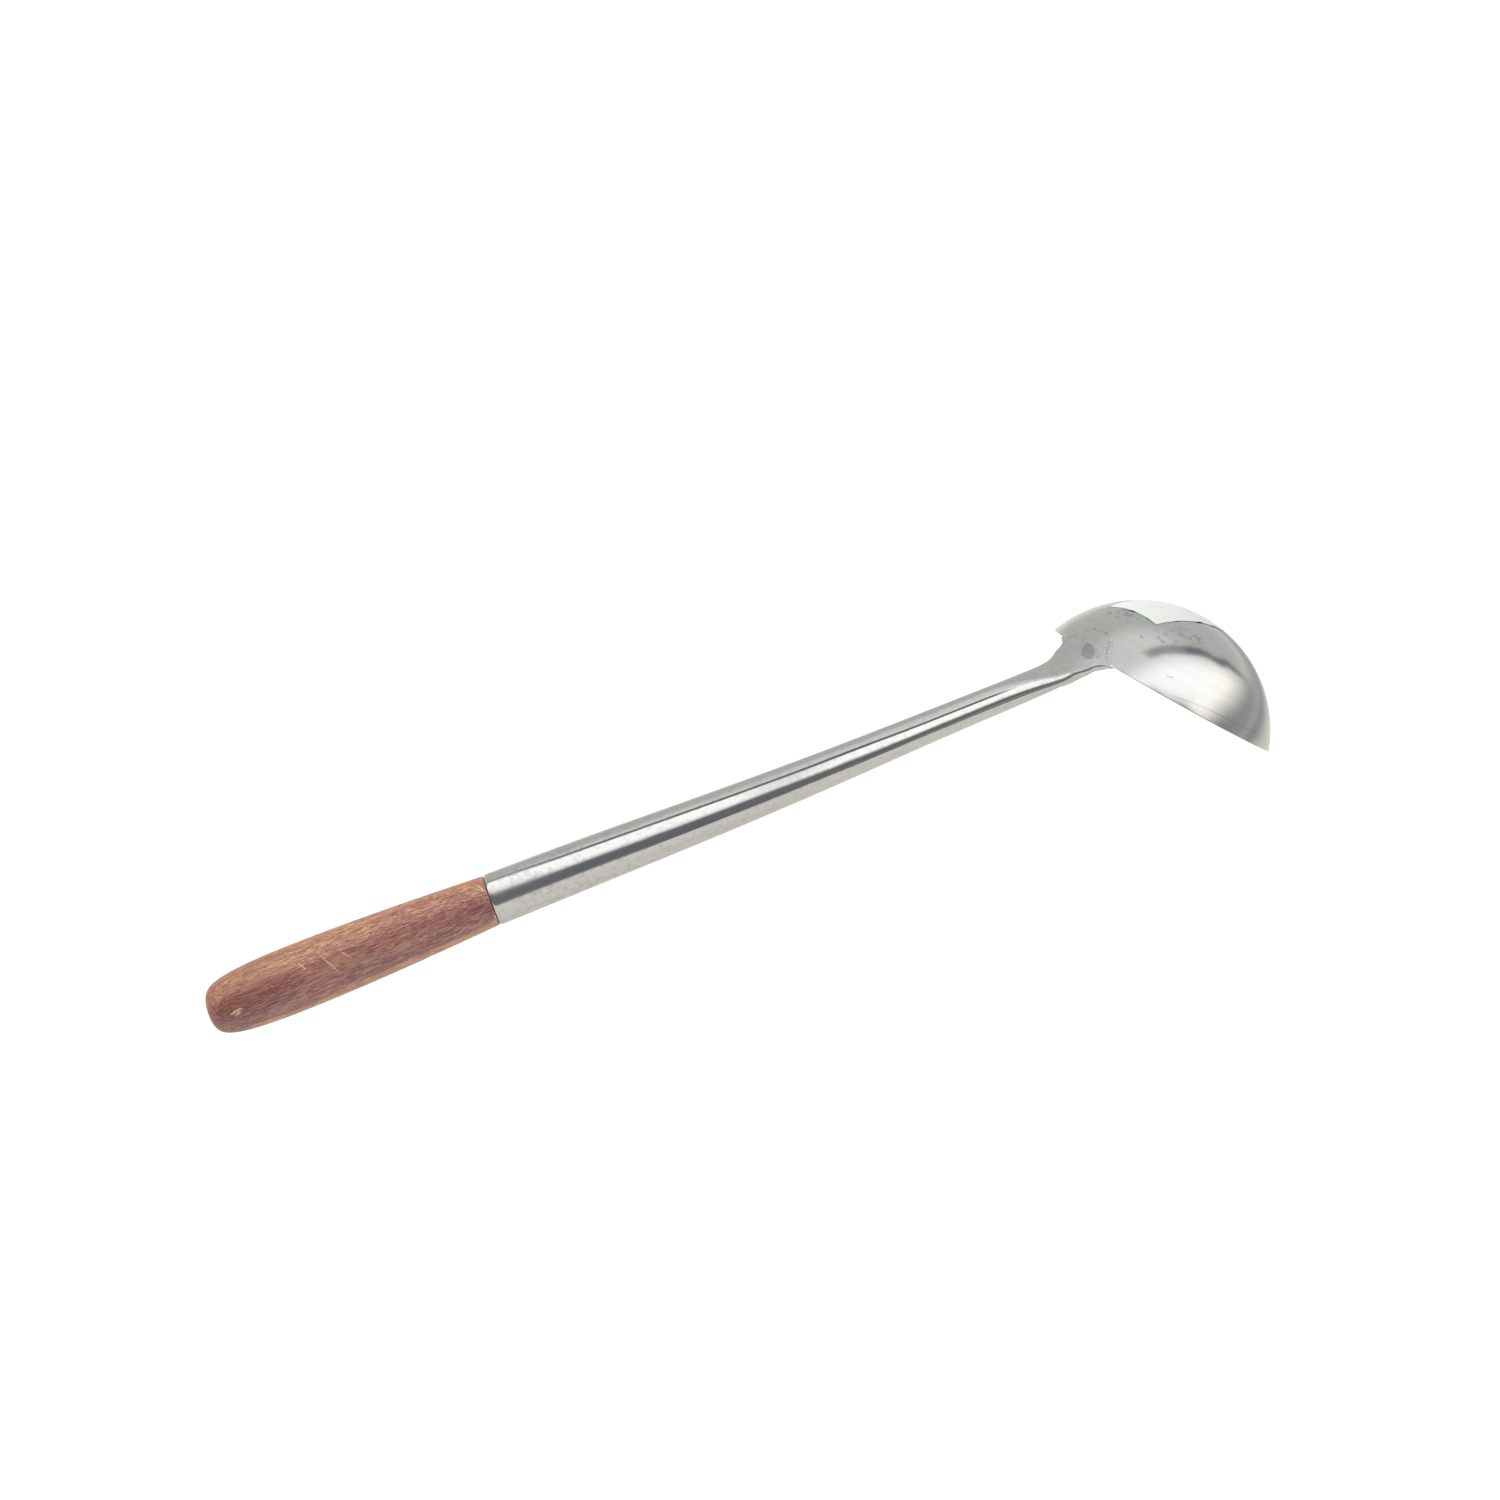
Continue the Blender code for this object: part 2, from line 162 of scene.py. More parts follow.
# Paper label on the dome
LABEL_LENGTH = 0.042
LABEL_WIDTH = 0.034
LABEL_THICK = 0.00011
LABEL_EDGE = 0.00005
LABEL_RISE = 0.00017
LABEL_CORNER_X = 0.0434           # its near corner on the handle's side, measured over the dome
LABEL_CORNER_Y = 0.0140
LABEL_TURN = radians(3.7)
LONG_LIFTS = ((0.0255, 0.0022, 0.00042), (0.0120, 0.0016, 0.00016),
              (0.0360, 0.0030, 0.00020))   # place along the edge, width, height
SHORT_LIFTS = ((0.0175, 0.0020, 0.00030), (0.0060, 0.0014, 0.00014))
LONG_LIFT_REACH = 0.0016          # how far in from the edge the paper is lifted
SHORT_LIFT_REACH = 0.0014
LABEL_WAVE = 0.00002

# Worked out from the sizes above
BEND = RIM_POLAR - HANDLE_ANGLE
ALONG = np.array([cos(HANDLE_ANGLE), 0.0, -sin(HANDLE_ANGLE)])
ABOVE = np.array([sin(HANDLE_ANGLE), 0.0, cos(HANDLE_ANGLE)])
RIM_EDGE = np.array([RIM_R, 0.0, 0.0])


# Shapes

def smoothstep(x):
    """3 x squared - 2 x cubed: a smooth rise from 0 at x = 0 to 1 at x = 1."""
    x = np.clip(x, 0.0, 1.0)
    return x * x * (3.0 - 2.0 * x)


def bell(x, width):
    """exp(-(x / width) squared): 1 at x = 0, next to nothing beyond twice the width."""
    return np.exp(-(x / width) ** 2)


def larger(a, b, softness):
    """The larger of two values, rounded where they cross."""
    return (a + b) / 2 + np.hypot((a - b) / 2, softness)


def ramp(x, softness):
    """From 0 before x = 0 to 1 after x = 1, with its corners rounded."""
    return (np.hypot(x, softness) - np.hypot(x - 1.0, softness) + 1.0) / 2


def unit(vectors):
    """Each vector divided by its length."""
    return vectors / np.maximum(np.linalg.norm(vectors, axis=-1, keepdims=True), 1e-12)


def set_down(points):
    """Rim's middle + x along the bowl's tilted X + y across + z along its tilted Z."""
    return (RIM_CENTRE + points[..., 0:1] * BOWL_X + points[..., 1:2] * ACROSS
            + points[..., 2:3] * BOWL_Z)


def skin(name, grid, chart, node, slot, finish):
    """A grid of points as one closed skin. chart gives each point's place in the UV map."""
    rows, columns = grid.shape[:2]
    index = np.arange(rows * columns).reshape(rows, columns)
    quads = np.stack([index[:-1, :-1], index[1:, :-1], index[1:, 1:], index[:-1, 1:]], axis=-1)
    quads = quads.reshape(-1, 4)
    mesh = bpy.data.meshes.new(name)
    mesh.from_pydata(set_down(grid).reshape(-1, 3).tolist(), [], quads.tolist())
    layer = mesh.uv_layers.new(name="UVMap")
    layer.data.foreach_set("uv", chart.reshape(-1, 2)[quads.ravel()].astype(np.float32).ravel())
    shape = bmesh.new()
    shape.from_mesh(mesh)
    bmesh.ops.remove_doubles(shape, verts=shape.verts, dist=1e-7)
    shape.to_mesh(mesh)
    shape.free()
    mesh.shade_smooth()
    mesh.materials.append(finish)
    piece = bpy.data.objects.new(name, mesh)
    bpy.context.scene.collection.objects.link(piece)
    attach(piece, "root")
    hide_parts(node)


def all_round(profile, steps):
    """A profile's radius and height at every step of a turn, as two grids."""
    return (np.repeat(profile[:, :1], steps + 1, axis=1),
            np.repeat(profile[:, 1:], steps + 1, axis=1))


def turned(radius, height, origin, axis, side):
    """Grids of radius and height carried round an axis: a row for each height.

    point = origin + height * axis + radius * (cos(turn) * side + sin(turn) * third), where
    third stands square to the axis and the side.
    """
    turn = np.linspace(0.0, 2 * pi, radius.shape[1])
    third = np.cross(axis, side)
    round_about = np.cos(turn)[:, None] * side + np.sin(turn)[:, None] * third
    return origin + height[..., None] * axis + radius[..., None] * round_about[None]


def turned_chart(profile, steps):
    """Share of the turn, and the way along the profile as the sum of its strides."""
    turn = np.linspace(0.0, 1.0, steps + 1)
    arc = np.concatenate([[0.0], np.cumsum(np.linalg.norm(np.diff(profile, axis=0), axis=1))])
    return np.stack(np.broadcast_arrays(turn[None, :], arc[:, None]), axis=-1)


def closed_sheet(outer, chart, thickness, edge, share=1.0, edge_steps=5):
    """Gives an open skin its thickness and rounds all its edges.

    A ring runs over the outer skin, round one edge, back under the inner skin and round the
    other edge. Each point is a point of the middle layer plus a step through half of the
    thickness. Round an edge by an angle, the middle layer goes out by edge * sin(angle) and
    the step is half the thickness * cos(angle). The first and last rows close the same way.
    share thins the sheet from above, down to its inner skin, and edge may differ by row.
    """
    normal = unit(np.cross(np.gradient(outer, axis=0), np.gradient(outer, axis=1)))
    share = np.broadcast_to(share, outer.shape[:2])[..., None]
    edge = np.broadcast_to(edge, (len(outer),))[:, None, None]
    half = normal * share * thickness / 2
    middle = outer - normal * thickness + half
    angle = np.linspace(0.0, pi, edge_steps + 2)[1:-1][None, :, None]
    right_out = unit(outer[:, -1:] - outer[:, -2:-1])
    left_out = unit(outer[:, :1] - outer[:, 1:2])
    right = middle[:, -1:] + edge * np.sin(angle) * right_out
    left = middle[:, :1] + edge * np.sin(angle) * left_out
    layer = np.concatenate([middle, right, middle[:, ::-1], left, middle[:, :1]], axis=1)
    step = np.concatenate([half, np.cos(angle) * half[:, -1:], -half[:, ::-1],
                           -np.cos(angle) * half[:, :1], half[:, :1]], axis=1)
    flat = np.concatenate([chart, np.repeat(chart[:, -1:], edge_steps, axis=1),
                           chart[:, ::-1], np.repeat(chart[:, :1], edge_steps, axis=1),
                           chart[:, :1]], axis=1)
    middle_column = outer.shape[1] // 2
    first_out = unit(outer[0, middle_column] - outer[1, middle_column])
    last_out = unit(outer[-1, middle_column] - outer[-2, middle_column])
    angle = np.linspace(pi / 2, 0.0, edge_steps)[:-1][:, None, None]
    first = layer[:1] + np.cos(angle) * step[:1] + edge[0] * np.sin(angle) * first_out
    angle = angle[::-1]
    last = layer[-1:] + np.cos(angle) * step[-1:] + edge[-1] * np.sin(angle) * last_out
    grid = np.concatenate([first, layer + step, last])
    flat = np.concatenate([np.repeat(flat[:1], edge_steps - 1, axis=0), flat,
                           np.repeat(flat[-1:], edge_steps - 1, axis=0)])
    return grid, flat


def round_corner(before, corner, after, steps=6):
    """A curve that leaves one line and joins the next: a blend of the three points by squares."""
    t = np.linspace(0.0, 1.0, steps)[:, None]
    return (1 - t) ** 2 * before + 2 * t * (1 - t) * corner + t ** 2 * after


def crease_rise(turn):
    """How high above the rim the crease runs: it leaves the rim beside the handle and climbs
    by 1 - exp(-way round) to its full height at the far side, the same on both sides."""
    way = np.arccos(np.clip(np.cos(turn), -1.0, 1.0)) - CREASE_FROM
    return CREASE_RISE * (1.0 - np.exp(-way / CREASE_SPREAD))


def sphere_line(radius, polar):
    """Radius * sin(polar) out from the axis and radius * cos(polar) above the sphere's middle."""
    return np.stack([radius * np.sin(polar), SPHERE_Z + radius * np.cos(polar)], axis=-1)


def bowl_surface():
    """Radius and height round the dome's middle: outside arc, rounded ground rim, inside arc.

    Below the crease the outside leans out by a small angle times the way down from the crease,
    rounded where it starts.
    """
    inner_r = SPHERE_R - BOWL_WALL
    inner_polar = atan2(sqrt(inner_r ** 2 - SPHERE_Z ** 2), -SPHERE_Z)
    fine_from = RIM_POLAR - FINE_RISE / SPHERE_R
    polar = np.concatenate([np.linspace(0.0, fine_from, 46, endpoint=False),
                            np.linspace(fine_from, RIM_POLAR - RIM_ROUND / SPHERE_R, 52)])
    outside = sphere_line(SPHERE_R, polar)
    inside = sphere_line(inner_r, np.linspace(inner_polar - RIM_ROUND / inner_r, 0.0, 60))
    rim_in = np.array([inner_r * sin(inner_polar), 0.0])
    rim_out = np.array([RIM_R, 0.0])
    ground = np.array([RIM_ROUND, 0.0])
    profile = np.concatenate([outside, round_corner(outside[-1], rim_out, rim_out - ground)[1:],
                              round_corner(rim_in + ground, rim_in, inside[0])[:-1], inside])
    profile[0, 0] = profile[-1, 0] = 0.0
    turn = np.linspace(0.0, 2 * pi, BOWL_STEPS + 1)
    rise = ((RIM_POLAR - polar) * SPHERE_R)[:, None]
    below = larger(crease_rise(turn) - rise, 0.0, CREASE_SOFTNESS)
    lean = CREASE_LEAN * np.maximum(below - CREASE_SOFTNESS / 20, 0.0)
    lean = np.where(rise > CREASE_RISE + CREASE_REACH, 0.0, lean)
    radius, height = all_round(profile, BOWL_STEPS)
    radius[:len(polar)] += lean * np.sin(polar)[:, None]
    height[:len(polar)] += lean * np.cos(polar)[:, None]
    grid = turned(radius, height, np.zeros(3), np.array([0.0, 0.0, 1.0]),
                  np.array([1.0, 0.0, 0.0]))
    return grid, turned_chart(profile, BOWL_STEPS)


def on_dome(x, y, height):
    """The point x, y measured over the dome from its top, at a height above the wall."""
    polar = np.hypot(x, y) / SPHERE_R
    turn = np.arctan2(y, x)
    radius = SPHERE_R + height
    return np.stack([radius * np.sin(polar) * np.cos(turn), radius * np.sin(polar) * np.sin(turn),
                     SPHERE_Z + radius * np.cos(polar)], axis=-1)


def taper_share(q):
    """How far q lies along the taper: 0 at its narrow end and 1 at the wood."""
    return np.clip((q - TAPER_FROM) / (TUBE_END - TAPER_FROM), 0.0, 1.0)


def tube_radius(q):
    """Outer radius of the tube at a distance q from the rim's edge along the handle: a blend
    of a straight cone and a smooth step."""
    x = taper_share(q)
    share = (1.0 - TAPER_SOFTNESS) * x + TAPER_SOFTNESS * smoothstep(x)
    return TUBE_R_NECK + (TUBE_R_END - TUBE_R_NECK) * share


def bow(q):
    """Sag of the tube's axis: nothing at its ends and most at its middle, as a sine squared."""
    return SHANK_BOW * np.sin(pi * taper_share(q)) ** 2


def axis_point(q):
    """Rim's edge + q along the handle - the drop and the sag at q across it."""
    q = np.asarray(q, dtype=float)[..., None]
    return RIM_EDGE + q * ALONG - (HANDLE_DROP + bow(q)) * ABOVE


def walk_across(origin, lean, half_width, turn_at):
    """Rows across the sheet, each a walk from its middle to both edges that turns as it goes.

    With t the angle that the sheet has turned through at a distance v from its middle, a
    point is origin + (sum of cos t) across - (sum of sin t) down, where down is square to
    the sheet's middle line. The other half is its mirror image.
    """
    share = np.linspace(0.0, 1.0, COLUMNS * FINE + 1)[None, :]
    walk = half_width[:, None] * share
    turn = turn_at((walk[:, 1:] + walk[:, :-1]) / 2)
    stride = half_width[:, None] / (COLUMNS * FINE)
    start = np.zeros((len(half_width), 1))
    side = np.concatenate([start, np.cumsum(np.cos(turn) * stride, axis=1)], axis=1)[:, ::FINE]
    down = np.concatenate([start, np.cumsum(np.sin(turn) * stride, axis=1)], axis=1)[:, ::FINE]
    outward = np.stack([np.sin(lean), np.zeros_like(lean), np.cos(lean)], axis=-1)
    right = origin[:, None] + side[..., None] * ACROSS - down[..., None] * outward[:, None]
    left = right[:, :0:-1] * np.array([1.0, -1.0, 1.0])
    across = walk[:, ::FINE]
    return (np.concatenate([left, right], axis=1),
            np.concatenate([-across[:, :0:-1], across], axis=1))


def flare(along):
    """Extra half width where the pad meets the neck: a bell curve, steeper on the pad."""
    away = along - FLARE_AT
    return FLARE * bell(away, np.where(away < 0.0, FLARE_ON_PAD, FLARE_ON_NECK))


def sheet_share(along, from_edge):
    """Share of the full thickness that stands over the dome: thin on the pad, thinner at its
    edge and full along the neck."""
    full = smoothstep((along - THICKEN_FROM) / THICKEN_LENGTH)
    edge = PAD_EDGE_THICK + (PAD_THICK - PAD_EDGE_THICK) * smoothstep(from_edge / PAD_BEVEL)
    return edge / SHEET + (1.0 - edge / SHEET) * full


def pad_surface():
    """The pad: rows on a sphere just over the dome, as wide as a circle round the weld, and
    flared where they come to the rim."""
    outer_r = SPHERE_R + PAD_GAP + SHEET
    centre_rise = TANG_RISE - TANG_R
    rim_turn = np.arccos(-centre_rise / TANG_R)
    turn = np.linspace(TANG_TIP_TURN, rim_turn, PAD_ROWS, endpoint=False)
    rise = centre_rise + TANG_R * np.cos(turn)
    polar = RIM_POLAR - rise / SPHERE_R
    origin = np.stack([outer_r * np.sin(polar), np.zeros(PAD_ROWS),
                       SPHERE_Z + outer_r * np.cos(polar)], axis=-1)
    half_width = TANG_R * np.sin(turn) + flare(-rise)
    rows, across = walk_across(origin, polar, half_width, lambda v: v / outer_r)
    from_weld = np.hypot(across * (TANG_R * np.sin(turn) / half_width)[:, None],
                         (rise - centre_rise)[:, None])
    return rows, across, -rise, sheet_share(-rise[:, None], TANG_R - from_weld)


def neck_surface():
    """The neck: a tube pressed flat towards the rim, spread, and opened along its underside.

    Across it the sheet is flat, then turns through a rounded shoulder. Along it the middle
    line is the higher of the pad's line and the tube's, rounded where they meet. It starts
    at the pad's height and settles on the tube's line by the neck's end. Two bell curves
    give its edge the waves that pressing it flat left there.
    """
    lift = PAD_GAP + SHEET
    start_q, start_top = lift * sin(BEND), lift * cos(BEND)
    share = np.linspace(0.0, 1.0, NECK_ROWS, endpoint=False)
    q = start_q + (NECK_LENGTH - start_q) * share ** NECK_ROW_CURVE
    pressed = np.clip(1.0 - q / NECK_LENGTH, 0.0, 1.0)
    flat = FLAT_AT_RIM * pressed ** FLAT_CURVE
    for place, width, height in EDGE_WAVES:
        flat += height * bell(q - place, width)
    radius = tube_radius(q)
    closed_r = radius - 2 * flat / pi
    shoulder_r = larger(closed_r, SHOULDER_R, SHEET / 4)
    pad_line = start_top - tan(BEND) * (q - start_q)
    neck_line = closed_r - HANDLE_DROP - bow(q) + NECK_LIFT * pressed ** 4
    top = larger(pad_line, neck_line, BEND_SOFTNESS)
    half_step = (pad_line - neck_line) / 2
    pad_share = (1.0 + half_step / np.hypot(half_step, BEND_SOFTNESS)) / 2
    join = bell(q - start_q, JOIN_LENGTH)
    top = top - (top[0] - start_top) * join
    pad_share = pad_share + (1.0 - pad_share[0]) * join
    settled = smoothstep(2.0 * q / NECK_LENGTH - 1.0)
    top = top + (neck_line - top) * settled
    pad_share = pad_share * (1.0 - settled)
    lean = HANDLE_ANGLE + BEND * pad_share
    origin = RIM_EDGE + q[:, None] * ALONG + top[:, None] * ABOVE
    opened = 1.0 - smoothstep((q - OPEN_BY) / (OPEN_FROM - OPEN_BY))
    turn_end = pi + (SIDE_TURN - pi) * opened
    shoulder = turn_end * shoulder_r
    run_out = smoothstep((q - start_q) / SIDE_LENGTH)
    closed_width = pi * radius - TUBE_SLIT / 2
    open_width = flat + (shoulder + SIDE) * run_out
    half_width = closed_width + (open_width - closed_width) * opened + flare(q - start_q)
    softness = (SHOULDER_SOFTNESS * (1.0 - closed_r / radius))[:, None]
    first = ramp(-(flat / shoulder)[:, None], softness)

    def turn_at(v):
        """The shoulder's turn at a distance v from the middle, and the dome's own bend."""
        share = (ramp((v - flat[:, None]) / shoulder[:, None], softness) - first) / (1.0 - first)
        bent = pad_share[:, None] * v / (SPHERE_R + PAD_GAP + SHEET)
        return (turn_end * run_out)[:, None] * share + bent

    rows, across = walk_across(origin, lean, half_width, turn_at)
    from_edge = half_width[:, None] - np.abs(across)
    return rows, across, q, sheet_share((q - start_q)[:, None], from_edge)


def tube_surface():
    """The round tube: a circle of the tube's radius, open by the slit along its underside.
    Its end curls in by a bell curve of the way from the end."""
    end = TUBE_END - SHEET_EDGE
    lip_from = end - LIP_ROWS_FROM
    q = np.concatenate([np.linspace(NECK_LENGTH, lip_from, TUBE_ROWS, endpoint=False),
                        np.linspace(lip_from, end, LIP_ROWS)])
    radius = tube_radius(q) - LIP * bell(TUBE_END - q, LIP_LENGTH)
    origin = axis_point(q) + radius[:, None] * ABOVE
    lean = np.full(len(q), HANDLE_ANGLE)
    rows, across = walk_across(origin, lean, pi * radius - TUBE_SLIT / 2,
                               lambda v: v / radius[:, None])
    return rows, across, q, np.ones_like(across)


def shank_surface():
    """Pad, neck and tube in one run of rows. The chart is the way across and the way along."""
    runs = pad_surface(), neck_surface(), tube_surface()
    rows, across, along, thick = (np.concatenate([run[i] for run in runs]) for i in range(4))
    edge = PAD_EDGE + (SHEET_EDGE - PAD_EDGE) * smoothstep(along / SIDE_LENGTH)
    chart = np.stack(np.broadcast_arrays(across, along[:, None]), axis=-1)
    return closed_sheet(rows, chart, SHEET, edge, thick)


def grip_profile():
    """Butt's face, butt, body and tenon as four lists of radius and height.

    To the thickest place the radius grows as a quarter of a sine. Behind it the radius is a
    power of the cosine and the length a power of the sine of one angle.
    """
    last_turn = np.arccos((BUTT_FLAT_R / GRIP_R_MAX) ** (1.0 / BUTT_FULLNESS))
    angle = np.linspace(last_turn, 0.0, 64, endpoint=False)
    reach = (GRIP_LENGTH - GRIP_MAX_AT) * np.sin(angle) ** BUTT_LEAD / sin(last_turn) ** BUTT_LEAD
    butt = np.stack([GRIP_R_MAX * np.cos(angle) ** BUTT_FULLNESS, GRIP_MAX_AT + reach], axis=-1)
    face = np.linspace(0.0, butt[0, 0], 10, endpoint=False)
    face = np.stack([face, np.full(10, GRIP_LENGTH)], axis=-1)
    along = np.concatenate([np.linspace(GRIP_MAX_AT, SEAM_ROWS_FROM, 60, endpoint=False),
                            np.linspace(SEAM_ROWS_FROM, SEAM_GAP, 24)])
    swell = (GRIP_R_MAX - GRIP_R_SHOULDER) * np.sin(pi / 2 * along / GRIP_MAX_AT)
    body = np.stack([GRIP_R_SHOULDER + swell, along], axis=-1)
    tenon_r = tube_radius(TUBE_END) - SHEET - TENON_CLEARANCE
    tip_r = tube_radius(TUBE_END - TENON_LENGTH) - SHEET - TENON_CLEARANCE
    tenon = np.array([[tenon_r, SEAM_GAP], [tenon_r, 0.0],
                      [tip_r, TENON_CHAMFER - TENON_LENGTH],
                      [tip_r - TENON_CHAMFER, -TENON_LENGTH], [0.0, -TENON_LENGTH]])
    return face, butt, body, tenon


def grip_surface():
    """The grip's profile turned. Next to the seam the edge is worn by an exp of the way from
    the seam, and small bell curves of the way round bite into it, as splinters do."""
    face, butt, body, tenon = grip_profile()
    profile = np.concatenate([face, butt, body, tenon])
    radius, height = all_round(profile, GRIP_STEPS)
    turn = np.linspace(0.0, 2 * pi, GRIP_STEPS + 1)
    bite = np.zeros(GRIP_STEPS + 1)
    for middle, width, share in SEAM_BITES:
        bite += share * bell(np.angle(np.exp(1j * (turn - middle))), width)
    start = len(face) + len(butt)
    by_seam = slice(start, start + len(body))
    from_seam = height[by_seam] - SEAM_GAP
    radius[by_seam] -= BITE_DEPTH * bite * np.exp(-from_seam / BITE_LENGTH)
    radius[by_seam] -= SEAM_WEAR * np.exp(-from_seam / SEAM_WEAR_LENGTH)
    grid = turned(radius, height, axis_point(TUBE_END), ALONG, ABOVE)
    return grid, turned_chart(profile, GRIP_STEPS)


def nail_surface():
    """Radius and height along the nail: a domed head with a rounded edge, shank and point."""
    angle = np.linspace(0.0, pi / 2, 16)
    dome = np.stack([NAIL_HEAD_R * np.sin(angle), NAIL_HEAD_RISE * np.cos(angle) ** 0.8], axis=-1)
    under = np.array([[0.97 * NAIL_HEAD_R, -0.4 * NAIL_HEAD_UNDER],
                      [0.80 * NAIL_HEAD_R, -NAIL_HEAD_UNDER * 2 / 3], [NAIL_R, -NAIL_HEAD_UNDER]])
    wire = np.array([[NAIL_R, 2 * NAIL_R - NAIL_LENGTH], [0.0, -NAIL_LENGTH]])
    profile = np.concatenate([dome, under, wire])
    q = TUBE_END - NAIL_FROM_END
    origin = axis_point(q) - (tube_radius(q) + NAIL_SEAT) * ACROSS
    grid = turned(*all_round(profile, NAIL_STEPS), origin, -ACROSS, ABOVE)
    return grid, turned_chart(profile, NAIL_STEPS)


def loose_edge(lifts, along, inward, reach):
    """Sum of height * bell curve of the way along the edge, times exp(-way in / reach)."""
    lift = sum(height * bell(along - place, width) for place, width, height in lifts)
    return lift * np.exp(-inward / reach)


def label_surface():
    """A rectangle laid over the dome, its edge lifted by bell curves where it has come loose,
    and all of it slightly wavy as a product of sines."""
    s = np.linspace(0.0, LABEL_LENGTH, 85)[:, None]
    t = np.linspace(0.0, LABEL_WIDTH, 69)[None, :]
    s, t = np.broadcast_arrays(s, t)
    x = LABEL_CORNER_X - s * cos(LABEL_TURN) + t * sin(LABEL_TURN)
    y = LABEL_CORNER_Y + s * sin(LABEL_TURN) - t * cos(LABEL_TURN)
    lift = (loose_edge(LONG_LIFTS, s, t, LONG_LIFT_REACH)
            + loose_edge(SHORT_LIFTS, t, s, SHORT_LIFT_REACH))
    wave = LABEL_WAVE * np.sin(s * 420.0 + 1.3 * np.sin(t * 300.0)) * np.sin(t * 350.0 + 0.7)
    outer = on_dome(x, y, LABEL_RISE + lift + wave)
    return closed_sheet(outer, np.stack([s, t], axis=-1), LABEL_THICK, LABEL_EDGE, edge_steps=3)


# Finishes

class Finish:
    """Adds nodes to one tree. An input may be a number, a colour as red, green and blue, or
    another node's output."""

    def __init__(self, tree):
        self.tree = tree

    def feed(self, socket, value):
        """Links an output to a socket, or sets the socket's own value."""
        if isinstance(value, bpy.types.NodeSocket):
            self.tree.links.new(value, socket)
        elif socket.type == "RGBA":
            socket.default_value = (*value, 1.0)
        else:
            socket.default_value = value

    def node(self, kind, settings=None, inputs=None):
        """A new node with its settings made and its named inputs fed."""
        made = self.tree.nodes.new(kind)
        for name, value in (settings or {}).items():
            setattr(made, name, value)
        for name, value in (inputs or {}).items():
            self.feed(made.inputs[name], value)
        return made

    def math(self, operation, *values):
        """One step of arithmetic on its values."""
        made = self.node("ShaderNodeMath", {"operation": operation})
        for socket, value in zip(made.inputs, values):
            self.feed(socket, value)
        return made.outputs[0]

    def add(self, *values):
        """The sum of all values."""
        total = values[0]
        for value in values[1:]:
            total = self.math("ADD", total, value)
        return total

    def times(self, *values):
        """The product of all values."""
        total = values[0]
        for value in values[1:]:
            total = self.math("MULTIPLY", total, value)
        return total

    def minus(self, first, second):
        """First - second."""
        return self.math("SUBTRACT", first, second)

    def most(self, first, second):
        """The larger of two values."""
        return self.math("MAXIMUM", first, second)

    def length(self, a, b):
        """The root of a squared + b squared."""
        return self.math("SQRT", self.add(self.times(a, a), self.times(b, b)))

    def scaled(self, value, factor, offset):
        """Value * factor + offset."""
        return self.math("MULTIPLY_ADD", value, factor, offset)

    def step(self, value, low, high):
        """0 below low, 1 above high and a smooth rise between; high may be under low."""
        turned_round = low > high
        made = self.node("ShaderNodeMapRange", {"interpolation_type": "SMOOTHSTEP"},
                         {"Value": value, "From Min": min(low, high), "From Max": max(low, high),
                          "To Min": 1.0 if turned_round else 0.0,
                          "To Max": 0.0 if turned_round else 1.0})
        return made.outputs[0]

    def band(self, value, low, high, soft):
        """1 from low to high and 0 outside, with soft edges."""
        return self.times(self.step(value, low - soft, low + soft),
                          self.step(value, high + soft, high - soft))

    def near(self, x, y, middle, half, turn=0.0):
        """Distance from a middle in units of two half sizes, which are turned by an angle."""
        dx, dy = self.minus(x, middle[0]), self.minus(y, middle[1])
        a = self.add(self.times(dx, cos(turn) / half[0]), self.times(dy, sin(turn) / half[0]))
        b = self.add(self.times(dx, -sin(turn) / half[1]), self.times(dy, cos(turn) / half[1]))
        return self.length(a, b)

    def blend(self, factor, first, second, how="MIX"):
        """From the first colour at factor 0 to the second at factor 1."""
        made = self.node("ShaderNodeMix", {"data_type": "RGBA", "blend_type": how})
        for socket, value in zip((made.inputs[0], made.inputs[6], made.inputs[7]),
                                 (factor, first, second)):
            self.feed(socket, value)
        return made.outputs[2]

    def tinted(self, colour, tint):
        """A colour with each of its parts multiplied by the tint's."""
        return self.blend(1.0, colour, tint, "MULTIPLY")

    def layered(self, colour, *layers):
        """A colour under layers, each of them a mask, a strength and a colour."""
        for mask, strength, over in layers:
            colour = self.blend(self.times(mask, strength), colour, over)
        return colour

    def parts(self, vector):
        """A vector's x, y and z."""
        return self.node("ShaderNodeSeparateXYZ", inputs={"Vector": vector}).outputs

    def vector(self, x, y, z):
        """A vector of x, y and z."""
        return self.node("ShaderNodeCombineXYZ", inputs={"X": x, "Y": y, "Z": z}).outputs[0]

    def object_point(self, origin, turn_y):
        """Object coordinates seen from a piece's own middle, turned about the way across."""
        point = self.node("ShaderNodeTexCoord").outputs["Object"]
        return self.node("ShaderNodeMapping", {"vector_type": "TEXTURE"},
                         {"Vector": point, "Location": tuple(origin),
                          "Rotation": (0.0, turn_y, 0.0)}).outputs[0]

    def chart_point(self):
        """The place in the UV map."""
        return self.node("ShaderNodeUVMap", {"uv_map": "UVMap"}).outputs[0]

    def stretched(self, vector, scale, shift=(0.0, 0.0, 0.0)):
        """Vector * scale + shift, axis by axis."""
        return self.node("ShaderNodeMapping", {"vector_type": "POINT"},
                         {"Vector": vector, "Location": shift, "Scale": scale}).outputs[0]

